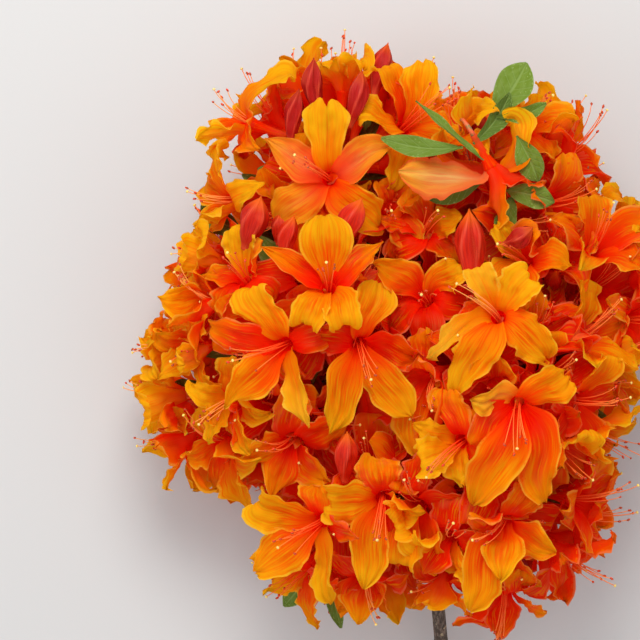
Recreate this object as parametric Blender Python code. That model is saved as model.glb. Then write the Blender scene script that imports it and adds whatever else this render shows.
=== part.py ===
"""A cut flowering branch of a deciduous azalea, lying on its side on a level surface.

The branch points along +Y from its flat cut, the side that faces up is +Z, and the surface is Z = 0.
The main stem forks into boughs inside the crown. Each bough leads to trusses, which are balls of
trumpet flowers. The blooms on the upper side are solids of their own, and the rest of each truss is
one uneven mass. Neighbours share the space by the planes midway between them, as crowded petals do.
"""

import math

import bmesh
import bpy
from mathutils import Matrix, Vector, noise

MM = 0.001

# Driving dimensions of one bloom, in metres.
BLOOM_REACH = 0.032  # from the throat's centre to a petal's tip, measured across
PETAL_RISE = 0.012  # how far the tips stand in front of the throat
TUBE_LENGTH = 0.020
TUBE_RADIUS = 0.0022
THROAT_RADIUS = 0.0055
PETAL_WALL = 0.003
PETALS = 5

# Driving dimensions of the crown, in metres.
TRUSS_RADIUS = 0.050
MASS_UNEVENNESS = 0.16
MASS_SETBACK = 0.016  # a mass's share of the space is measured from this far below its middle
GAP = 0.0003  # half the clearance between two neighbours
LEAF_TUFT_FLATNESS = 0.55

# Driving dimensions of the wood, in metres.
STEM_RADIUS_CUT = 0.0036
STEM_RADIUS_FORK = 0.0030
BOUGH_RADIUS = 0.0024
BOUGH_TIP_RADIUS = 0.0016
LIMB_SIDES = 8
LIMB_STEPS = 9

# Where the crown's datum lies from the middle of the whole branch.
CROWN_AT = Vector((-0.0401, 0.0418, 0.0))

# Each truss: its middle from the crown's datum, and the way its shoot points, in millimetres.
TRUSSES = {
    "top": ((12, 72, 64), (-1, 6, 6)),
    "upper_left": ((-14, 16, 66), (-8, 3, 5)),
    "middle": ((6, 0, 82), (0, 0, 10)),
    "left": ((-25, -32, 54), (-8, -3, 3)),
    "foot": ((26, -82, 62), (-3, -6, 7)),
    "near": ((90, -28, 88), (1, 0, 10)),
    "low_right": ((84, -80, 72), (2, -6, 7)),
    "inner": ((44, 16, 62), (0, 2, 10)),
    "right_top": ((78, 60, 62), (3, 7, 5)),
    "right": ((116, 6, 64), (9, 1, 4)),
    "back_left": ((0, 14, 36), (-4, 3, -9)),
    "back_right": ((82, 4, 36), (3, 1, -9)),
    "back_foot": ((40, -62, 34), (0, -4, -9)),
}

# Each bloom: its throat from the crown's datum in millimetres, then in degrees the way it turns, seen
# from above (0 is +X, 90 is +Y), and how far it leans from straight up, then its width's share.
BLOOMS = {
    "top": [
        (4, 68, 106, 140, 14, 1.00),
        (-35, 95, 86, 163, 78, 1.00),
        (11, 114, 78, 88, 82, 1.00),
        (41, 93, 96, 45, 38, 1.00),
        (-42, 58, 84, 195, 78, 0.95),
    ],
    "upper_left": [
        (-36, 20, 104, 125, 52, 0.95),
        (-52, 29, 80, 160, 72, 0.90),
        (-52, 8, 92, 182, 64, 1.00),
        (-58, -14, 84, 200, 62, 0.90),
    ],
    "middle": [
        (4, 16, 124, 90, 28, 1.00),
        (-17, -12, 120, 212, 34, 1.12),
        (19, -12, 118, 285, 25, 1.12),
    ],
    "left": [
        (-72, -14, 62, 172, 82, 0.90),
        (-68, -37, 58, 188, 84, 1.00),
        (-64, -58, 48, 212, 80, 0.95),
        (-46, -60, 72, 235, 60, 1.00),
        (-42, -38, 92, 205, 48, 0.95),
        (-13, -58, 92, 245, 40, 1.05),
    ],
    "foot": [
        (0, -97, 104, 215, 38, 1.05),
        (30, -86, 108, 262, 26, 1.05),
        (-7, -121, 72, 228, 72, 0.90),
        (22, -124, 78, 262, 66, 1.00),
    ],
    "near": [
        (84, 2, 134, 115, 26, 1.12),
        (93, -40, 138, 250, 22, 1.12),
        (66, -58, 128, 205, 36, 0.95),
        (55, -26, 112, 200, 48, 0.90),
    ],
    "low_right": [
        (47, -88, 106, 225, 42, 0.90),
        (62, -104, 108, 225, 52, 0.95),
        (60, -126, 82, 250, 68, 1.00),
        (88, -96, 118, 262, 40, 1.10),
        (90, -132, 78, 272, 76, 1.00),
    ],
    "inner": [
        (51, 10, 106, 120, 32, 1.00),
        (50, 42, 98, 70, 40, 1.00),
        (34, 50, 94, 100, 46, 0.90),
    ],
    "right_top": [
        (83, 71, 112, 300, 100, 1.10),
        (66, 88, 92, 110, 60, 0.95),
        (98, 92, 82, 62, 54, 1.00),
    ],
    "right": [
        (98, 28, 110, 130, 40, 1.00),
    ],
}

# Each tuft of leaves: its middle, in millimetres, and its radius in metres.
LEAF_TUFTS = {
    "upper": ((84, 82, 104), 0.027),
    "foot": ((6, -122, 50), 0.024),
}

# The wood's routes, in millimetres from the crown's datum.
STEM_ROUTE = [
    (63, -214, 4.4),
    (63, -205, 4.4),
    (61, -165, 13),
    (56, -120, 33),
    (50, -80, 48),
    (45, -45, 52),
]
BOUGH_ROUTES = {
    "left": [(46, -50, 51.5), (15, -44, 50), (-12, -36, 50)],
    "middle": [(46, -56, 51), (28, -30, 58), (8, -4, 68)],
    "top": [(45, -47, 52), (36, 0, 48), (22, 42, 52), (13, 60, 56)],
    "right": [(47, -60, 50.5), (66, -38, 60), (86, -28, 72)],
    "low_left": [(53, -102, 40.5), (42, -96, 50), (32, -88, 56)],
    "low_right": [(54, -106, 39), (66, -96, 52), (80, -84, 62)],
}


def clear_scene():
    for thing in list(bpy.data.objects):
        bpy.data.objects.remove(thing)


def new_collection(name):
    made = bpy.data.collections.new(name)
    bpy.context.scene.collection.children.link(made)
    return made


def material(name, colour, roughness):
    made = bpy.data.materials.new(name)
    made.use_nodes = True
    shader = made.node_tree.nodes["Principled BSDF"]
    shader.inputs["Base Color"].default_value = (*colour, 1.0)
    shader.inputs["Roughness"].default_value = roughness
    shader.inputs["Metallic"].default_value = 0.0
    return made


def placed(point):
    """A point given in millimetres from the crown's datum, in metres from the origin."""
    return Vector(point) * MM + CROWN_AT


def facing(turn, lean):
    """The unit vector that leans by lean degrees from +Z, towards turn degrees round it."""
    turned, leant = math.radians(turn), math.radians(lean)
    across = math.sin(leant)
    return Vector((across * math.cos(turned), across * math.sin(turned), math.cos(leant)))


def mesh_object(name, bm, collection, finish):
    bmesh.ops.recalc_face_normals(bm, faces=bm.faces)
    mesh = bpy.data.meshes.new(name)
    bm.to_mesh(mesh)
    bm.free()
    mesh.materials.append(finish)
    made = bpy.data.objects.new(name, mesh)
    collection.objects.link(made)
    return made


def ring(bm, radii, height):
    """A closed ring of points round Z, one for each radius."""
    points = []
    for i, radius in enumerate(radii):
        angle = 2 * math.pi * i / len(radii)
        points.append(bm.verts.new((radius * math.cos(angle), radius * math.sin(angle), height)))
    return points


def band(bm, lower, upper):
    """Joins two rings of the same count."""
    count = len(lower)
    for i in range(count):
        j = (i + 1) % count
        bm.faces.new((lower[i], lower[j], upper[j], upper[i]))


def widening_band(bm, inner, outer):
    """Joins a ring to one with twice its points."""
    count = len(inner)
    for i in range(count):
        j = (i + 1) % count
        near, between, far = outer[2 * i], outer[2 * i + 1], outer[(2 * i + 2) % len(outer)]
        bm.faces.new((inner[i], near, between))
        bm.faces.new((inner[i], between, inner[j]))
        bm.faces.new((inner[j], between, far))


def bloom_mesh():
    """A trumpet with its throat's centre at the origin: a tube, and a dished rim of five lobes."""
    bm = bmesh.new()
    around = 2 * PETALS
    lobe = [1.0, 0.86, 0.60, 0.86]  # tip, shoulder, notch, shoulder
    lift = [1.0, 0.95, 0.60, 0.95]
    foot = ring(bm, [TUBE_RADIUS] * around, -TUBE_LENGTH)
    throat = ring(bm, [THROAT_RADIUS] * around, -PETAL_WALL)
    rim = ring(bm, [BLOOM_REACH * share for share in lobe * PETALS], 0.0)
    for i, point in enumerate(rim):
        point.co.z = PETAL_RISE * lift[i % len(lift)]
    dish = ring(bm, [0.55 * BLOOM_REACH] * around, 0.45 * PETAL_RISE + PETAL_WALL)
    middle = bm.verts.new((0, 0, 0))
    bm.faces.new(reversed(foot))
    band(bm, foot, throat)
    widening_band(bm, throat, rim)
    widening_band(bm, dish, rim)
    for i in range(around):
        bm.faces.new((dish[i], dish[(i + 1) % around], middle))
    return bm


def lump_mesh(radius, seed, flatness=1.0, fineness=2):
    """A ball whose radius swells and sinks with smooth noise."""
    bm = bmesh.new()
    bmesh.ops.create_icosphere(bm, subdivisions=fineness, radius=1.0)
    for point in bm.verts:
        swell = noise.noise(point.co * 1.7 + Vector((seed, seed * 0.7, 0)))
        point.co *= radius * (1 + MASS_UNEVENNESS * 2 * swell)
        point.co.z *= flatness
    return bm


def axis_matrix(axis, at):
    """Carries +Z onto axis, with the origin moved to at."""
    return Matrix.Translation(at) @ axis.to_track_quat("Z", "Y").to_matrix().to_4x4()


def bloom_matrix(axis, at, width):
    """Carries a bloom onto axis with its upper lobe as near to +Y, the branch's tip, as it can be."""
    upper = (Vector((0, 1, 0)) - axis * axis.y).normalized()
    side = axis.cross(upper)
    turned = Matrix((upper, side, axis)).transposed().to_4x4()
    return Matrix.Translation(at) @ turned @ Matrix.Scale(width, 4)


def cell_mesh(site, others, half=0.11):
    """The box round site, cut back to the planes midway to each other site and to the ground."""
    bm = bmesh.new()
    bmesh.ops.create_cube(bm, size=2 * half, matrix=Matrix.Translation(site))
    planes = []
    for other in others:
        apart = other - site
        if GAP < apart.length < 2 * half:
            away = apart.normalized()
            planes.append((site + apart / 2 - away * GAP, away))
    planes.append((Vector((0, 0, 0)), Vector((0, 0, -1))))
    for point, normal in planes:
        cut = bmesh.ops.bisect_plane(
            bm,
            geom=bm.verts[:] + bm.edges[:] + bm.faces[:],
            plane_co=point,
            plane_no=normal,
            clear_outer=True,
        )
        edges = [e for e in cut["geom_cut"] if isinstance(e, bmesh.types.BMEdge)]
        if edges:
            bmesh.ops.holes_fill(bm, edges=[e for e in edges if e.is_boundary])
    return bm


def combine(target, tool, operation):
    """Applies one Boolean to target and keeps the largest body that it leaves."""
    change = target.modifiers.new("combine", "BOOLEAN")
    change.object = tool
    change.operation = operation
    bpy.context.view_layer.update()
    graph = bpy.context.evaluated_depsgraph_get()
    mesh = bpy.data.meshes.new_from_object(target.evaluated_get(graph), depsgraph=graph)
    target.modifiers.remove(change)
    bm = bmesh.new()
    bm.from_mesh(mesh)
    bmesh.ops.remove_doubles(bm, verts=bm.verts, dist=0.00002)
    bmesh.ops.dissolve_limit(bm, angle_limit=math.radians(1), verts=bm.verts, edges=bm.edges)
    keep_largest(bm)
    bmesh.ops.triangulate(bm, faces=bm.faces)
    bm.to_mesh(target.data)
    bm.free()
    bpy.data.meshes.remove(mesh)


def keep_largest(bm):
    """Deletes every body but the one with the most surface."""
    left, bodies = set(bm.verts), []
    while left:
        body, edge = set(), [left.pop()]
        while edge:
            point = edge.pop()
            body.add(point)
            for link in point.link_edges:
                other = link.other_vert(point)
                if other in left:
                    left.discard(other)
                    edge.append(other)
        bodies.append(body)
    bodies.sort(key=lambda body: sum(f.calc_area() for p in body for f in p.link_faces))
    spare = [point for body in bodies[:-1] for point in body]
    bmesh.ops.delete(bm, geom=spare, context="VERTS")


def smooth_route(points, steps):
    """Points along one Catmull-Rom curve through the given ones, ends included."""
    ends = [points[0] * 2 - points[1], *points, points[-1] * 2 - points[-2]]
    route = []
    for i in range(len(points) - 1):
        a, b, c, d = ends[i : i + 4]
        for step in range(steps):
            t = step / steps
            route.append(
                0.5 * (2 * b + (c - a) * t + (2 * a - 5 * b + 4 * c - d) * t**2
                       + (3 * b - a - 3 * c + d) * t**3)
            )
    return [*route, points[-1]]


def limb_mesh(points, start_radius, end_radius, grown=0.0):
    """A tapering round limb along a smooth route, with flat ends square to it."""
    route = smooth_route([placed(p) for p in points], LIMB_STEPS // (len(points) - 1) + 1)
    bm = bmesh.new()
    rings = []
    for i, at in enumerate(route):
        along = route[min(i + 1, len(route) - 1)] - route[max(i - 1, 0)]
        if i == 0:
            along = placed(points[1]) - placed(points[0])
        share = i / (len(route) - 1)
        radius = start_radius + (end_radius - start_radius) * share + grown
        start = len(bm.verts)
        ring(bm, [radius] * LIMB_SIDES, 0.0)
        bm.verts.ensure_lookup_table()
        made = bm.verts[start:]
        bmesh.ops.transform(bm, matrix=axis_matrix(along, at), verts=made)
        rings.append(list(made))
    for lower, upper in zip(rings, rings[1:]):
        band(bm, lower, upper)
    bm.faces.new(reversed(rings[0]))
    bm.faces.new(rings[-1])
    return bm


def bloom_objects(collection, finish):
    """Each bloom's object, with the middle of its face as its site."""
    made = {}
    for truss, rows in BLOOMS.items():
        for i, (x, y, z, turn, lean, width) in enumerate(rows):
            name = f"bloom_{truss}_{i + 1}"
            axis, throat = facing(turn, lean), placed((x, y, z))
            bm = bloom_mesh()
            bmesh.ops.transform(bm, matrix=bloom_matrix(axis, throat, width), verts=bm.verts)
            made[mesh_object(name, bm, collection, finish)] = throat + axis * PETAL_RISE * 0.6
    return made


def mass_objects(collection, finish):
    """Each truss's uneven mass: the half of its ball that its shoot points at."""
    made = {}
    for seed, (truss, (middle, shoot)) in enumerate(TRUSSES.items()):
        axis, at = Vector(shoot).normalized(), placed(middle)
        bm = lump_mesh(TRUSS_RADIUS, seed + 1)
        bmesh.ops.transform(bm, matrix=axis_matrix(axis, at), verts=bm.verts)
        cut = bmesh.ops.bisect_plane(
            bm,
            geom=bm.verts[:] + bm.edges[:] + bm.faces[:],
            plane_co=at - axis * 0.2 * TRUSS_RADIUS,
            plane_no=-axis,
            clear_outer=True,
        )
        rim = [e for e in cut["geom_cut"] if isinstance(e, bmesh.types.BMEdge)]
        bmesh.ops.holes_fill(bm, edges=rim)
        made[mesh_object(f"mass_{truss}", bm, collection, finish)] = at - Vector((0, 0, MASS_SETBACK))
    return made


def leaf_objects(collection, finish):
    """Each tuft of leaves as one flattened uneven lump."""
    made = {}
    for seed, (tuft, (middle, radius)) in enumerate(LEAF_TUFTS.items()):
        at = placed(middle)
        bm = lump_mesh(radius, 20 + seed, LEAF_TUFT_FLATNESS)
        bmesh.ops.translate(bm, vec=at, verts=bm.verts)
        made[mesh_object(f"leaves_{tuft}", bm, collection, finish)] = at
    return made


def share_the_space(soft, cutters, finish):
    """Cuts each bloom, mass and tuft back to its own cell."""
    sites = list(soft.values())
    for thing, site in soft.items():
        others = [other for other in sites if other is not site]
        cell = mesh_object("cell", cell_mesh(site, others), cutters, finish)
        combine(thing, cell, "INTERSECT")
        bpy.data.objects.remove(cell)


def boxes_meet(a, b):
    ca = [Vector(p.co) for p in a.data.vertices]
    cb = [Vector(p.co) for p in b.data.vertices]
    return all(
        min(p[k] for p in ca) < max(q[k] for q in cb)
        and min(q[k] for q in cb) < max(p[k] for p in ca)
        for k in range(3)
    )


def wood(collection, cutters, finish):
    """The main stem and the boughs, each with a slightly fatter copy that cuts its neighbours."""
    stem = mesh_object(
        "main_stem", limb_mesh(STEM_ROUTE, STEM_RADIUS_CUT, STEM_RADIUS_FORK), collection, finish
    )
    fat = [
        mesh_object(
            "fat_stem",
            limb_mesh(STEM_ROUTE, STEM_RADIUS_CUT, STEM_RADIUS_FORK, GAP),
            cutters,
            finish,
        )
    ]
    for name, route in BOUGH_ROUTES.items():
        bough = mesh_object(
            f"bough_{name}", limb_mesh(route, BOUGH_RADIUS, BOUGH_TIP_RADIUS), collection, finish
        )
        for earlier in fat:
            if boxes_meet(bough, earlier):
                combine(bough, earlier, "DIFFERENCE")
        fat.append(
            mesh_object(
                f"fat_{name}",
                limb_mesh(route, BOUGH_RADIUS, BOUGH_TIP_RADIUS, GAP),
                cutters,
                finish,
            )
        )
    return stem, fat


def main():
    clear_scene()
    branch = new_collection("azalea_branch")
    cutters = new_collection("cutters")
    cutters.hide_render = True
    petal = material("petal", (0.90, 0.22, 0.01), 0.5)
    leaf = material("leaf", (0.10, 0.22, 0.04), 0.5)
    bark = material("bark", (0.13, 0.09, 0.06), 0.8)

    soft = bloom_objects(branch, petal)
    soft.update(mass_objects(branch, petal))
    soft.update(leaf_objects(branch, leaf))
    share_the_space(soft, cutters, petal)
    stem, fat = wood(branch, cutters, bark)
    for thing in soft:
        for limb in fat:
            if boxes_meet(thing, limb):
                combine(thing, limb, "DIFFERENCE")
    for limb in fat:
        bpy.data.objects.remove(limb)


main()
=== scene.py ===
"""The finish of a cut flowering azalea branch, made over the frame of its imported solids.

Every bloom, mass, leaf tuft and limb of the frame gives way to a finished piece in the same place: petals,
stamens, buds, leaves, twigs and bark, all worked out from named sizes and seeded rules. Lengths in the
tables are millimetres from the crown's datum, and everything else is in metres.
"""

import math
import zlib

import bpy
import numpy as np
from bpy.props import FloatProperty, FloatVectorProperty, IntProperty, PointerProperty
from bpy.types import Operator, Panel, PropertyGroup
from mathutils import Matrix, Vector


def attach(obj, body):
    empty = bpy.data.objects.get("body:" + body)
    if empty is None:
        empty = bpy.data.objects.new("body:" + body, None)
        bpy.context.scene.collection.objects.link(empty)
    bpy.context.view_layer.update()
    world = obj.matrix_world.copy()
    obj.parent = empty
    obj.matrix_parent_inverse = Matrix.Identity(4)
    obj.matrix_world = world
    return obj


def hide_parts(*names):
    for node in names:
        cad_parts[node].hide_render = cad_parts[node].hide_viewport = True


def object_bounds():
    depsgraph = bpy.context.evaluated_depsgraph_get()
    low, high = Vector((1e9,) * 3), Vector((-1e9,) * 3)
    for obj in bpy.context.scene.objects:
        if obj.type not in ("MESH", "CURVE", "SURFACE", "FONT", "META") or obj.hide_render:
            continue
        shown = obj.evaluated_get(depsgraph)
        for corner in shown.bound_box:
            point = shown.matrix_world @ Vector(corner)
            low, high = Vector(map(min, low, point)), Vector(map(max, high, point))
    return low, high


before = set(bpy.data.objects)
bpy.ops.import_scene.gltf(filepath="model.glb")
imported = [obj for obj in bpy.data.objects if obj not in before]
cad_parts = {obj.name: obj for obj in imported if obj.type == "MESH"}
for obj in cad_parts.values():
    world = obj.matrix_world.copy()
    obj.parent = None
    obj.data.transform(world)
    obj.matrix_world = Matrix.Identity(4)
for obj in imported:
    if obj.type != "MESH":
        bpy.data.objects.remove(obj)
CAD_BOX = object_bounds()

bl_info = {
    "name": "Azalea branch",
    "version": (1, 0, 0),
    "blender": (4, 5, 0),
    "location": "3D View > Sidebar > Azalea",
    "description": "Finishes a cut flowering azalea branch: blooms, buds, leaves, wood and a plain stage",
    "category": "Object",
}

MM = 0.001

# The crown's datum, and the crown's outline about it: its left edge as (y, x) and its top as (x, y).
CROWN_AT = np.array([-0.0401, 0.0418, 0.0])
CROWN_EDGE = (
    (-151, -9), (-133, -19), (-114, -31), (-92, -36), (-86, -64), (-57, -84), (-24, -83), (-7, -78),
    (14, -71), (30, -63), (45, -56), (62, -43), (81, -45), (95, -54), (117, -28), (129, -15), (138, -5),
)
CROWN_TOP = ((-60, 100), (-30, 118), (0, 122), (40, 122), (60, 112), (80, 107), (100, 106), (150, 88))

# Each truss: its middle from the crown's datum, and the way its shoot points.
TRUSSES = {
    "top": ((12, 72, 64), (-1, 6, 6)),
    "upper_left": ((-14, 16, 66), (-8, 3, 5)),
    "middle": ((6, 0, 82), (0, 0, 10)),
    "left": ((-25, -32, 54), (-8, -3, 3)),
    "foot": ((26, -82, 62), (-3, -6, 7)),
    "near": ((90, -28, 88), (1, 0, 10)),
    "low_right": ((84, -80, 72), (2, -6, 7)),
    "inner": ((44, 16, 62), (0, 2, 10)),
    "right_top": ((78, 60, 62), (3, 7, 5)),
    "right": ((116, 6, 64), (9, 1, 4)),
    "back_left": ((0, 14, 36), (-4, 3, -9)),
    "back_right": ((82, 4, 36), (3, 1, -9)),
    "back_foot": ((40, -62, 34), (0, -4, -9)),
}

# Each bloom with a solid of its own: its throat, the way it turns seen from above, in degrees from +X,
# how far it leans from straight up, and its width's share.
BLOOMS = {
    "top": [
        (4, 68, 106, 140, 14, 1.0), (-35, 95, 86, 163, 78, 1.0), (11, 114, 78, 88, 82, 1.0),
        (41, 93, 96, 45, 38, 1.0), (-42, 58, 84, 195, 78, 0.95),
    ],
    "upper_left": [
        (-36, 20, 104, 125, 52, 0.95), (-52, 29, 80, 160, 72, 0.9), (-52, 8, 92, 182, 64, 1.0),
        (-58, -14, 84, 200, 62, 0.9),
    ],
    "middle": [
        (4, 16, 124, 90, 28, 1.0), (-17, -12, 120, 212, 34, 1.12), (19, -12, 118, 285, 25, 1.12),
    ],
    "left": [
        (-72, -14, 62, 172, 82, 0.9), (-68, -37, 58, 188, 84, 1.0), (-64, -58, 48, 212, 80, 0.95),
        (-46, -60, 72, 235, 60, 1.0), (-42, -38, 92, 205, 48, 0.95), (-13, -58, 92, 245, 40, 1.05),
    ],
    "foot": [
        (0, -97, 104, 215, 38, 1.05), (30, -86, 108, 262, 26, 1.05), (-7, -121, 72, 228, 72, 0.9),
        (22, -124, 78, 262, 66, 1.0),
    ],
    "near": [
        (84, 2, 134, 115, 26, 1.12), (93, -40, 138, 250, 22, 1.12), (66, -58, 128, 205, 36, 0.95),
        (55, -26, 112, 200, 48, 0.9),
    ],
    "low_right": [
        (47, -88, 106, 225, 42, 0.9), (62, -104, 108, 225, 52, 0.95), (60, -126, 82, 250, 68, 1.0),
        (88, -96, 118, 262, 40, 1.1), (90, -132, 78, 272, 76, 1.0),
    ],
    "inner": [
        (51, 10, 106, 120, 32, 1.0), (50, 42, 98, 70, 40, 1.0), (34, 50, 94, 100, 46, 0.9),
    ],
    "right_top": [
        (83, 71, 112, 300, 100, 1.1), (66, 88, 92, 110, 60, 0.95), (98, 92, 82, 62, 54, 1.0),
    ],
    "right": [
        (98, 28, 110, 130, 40, 1.0),
    ],
}

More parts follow.
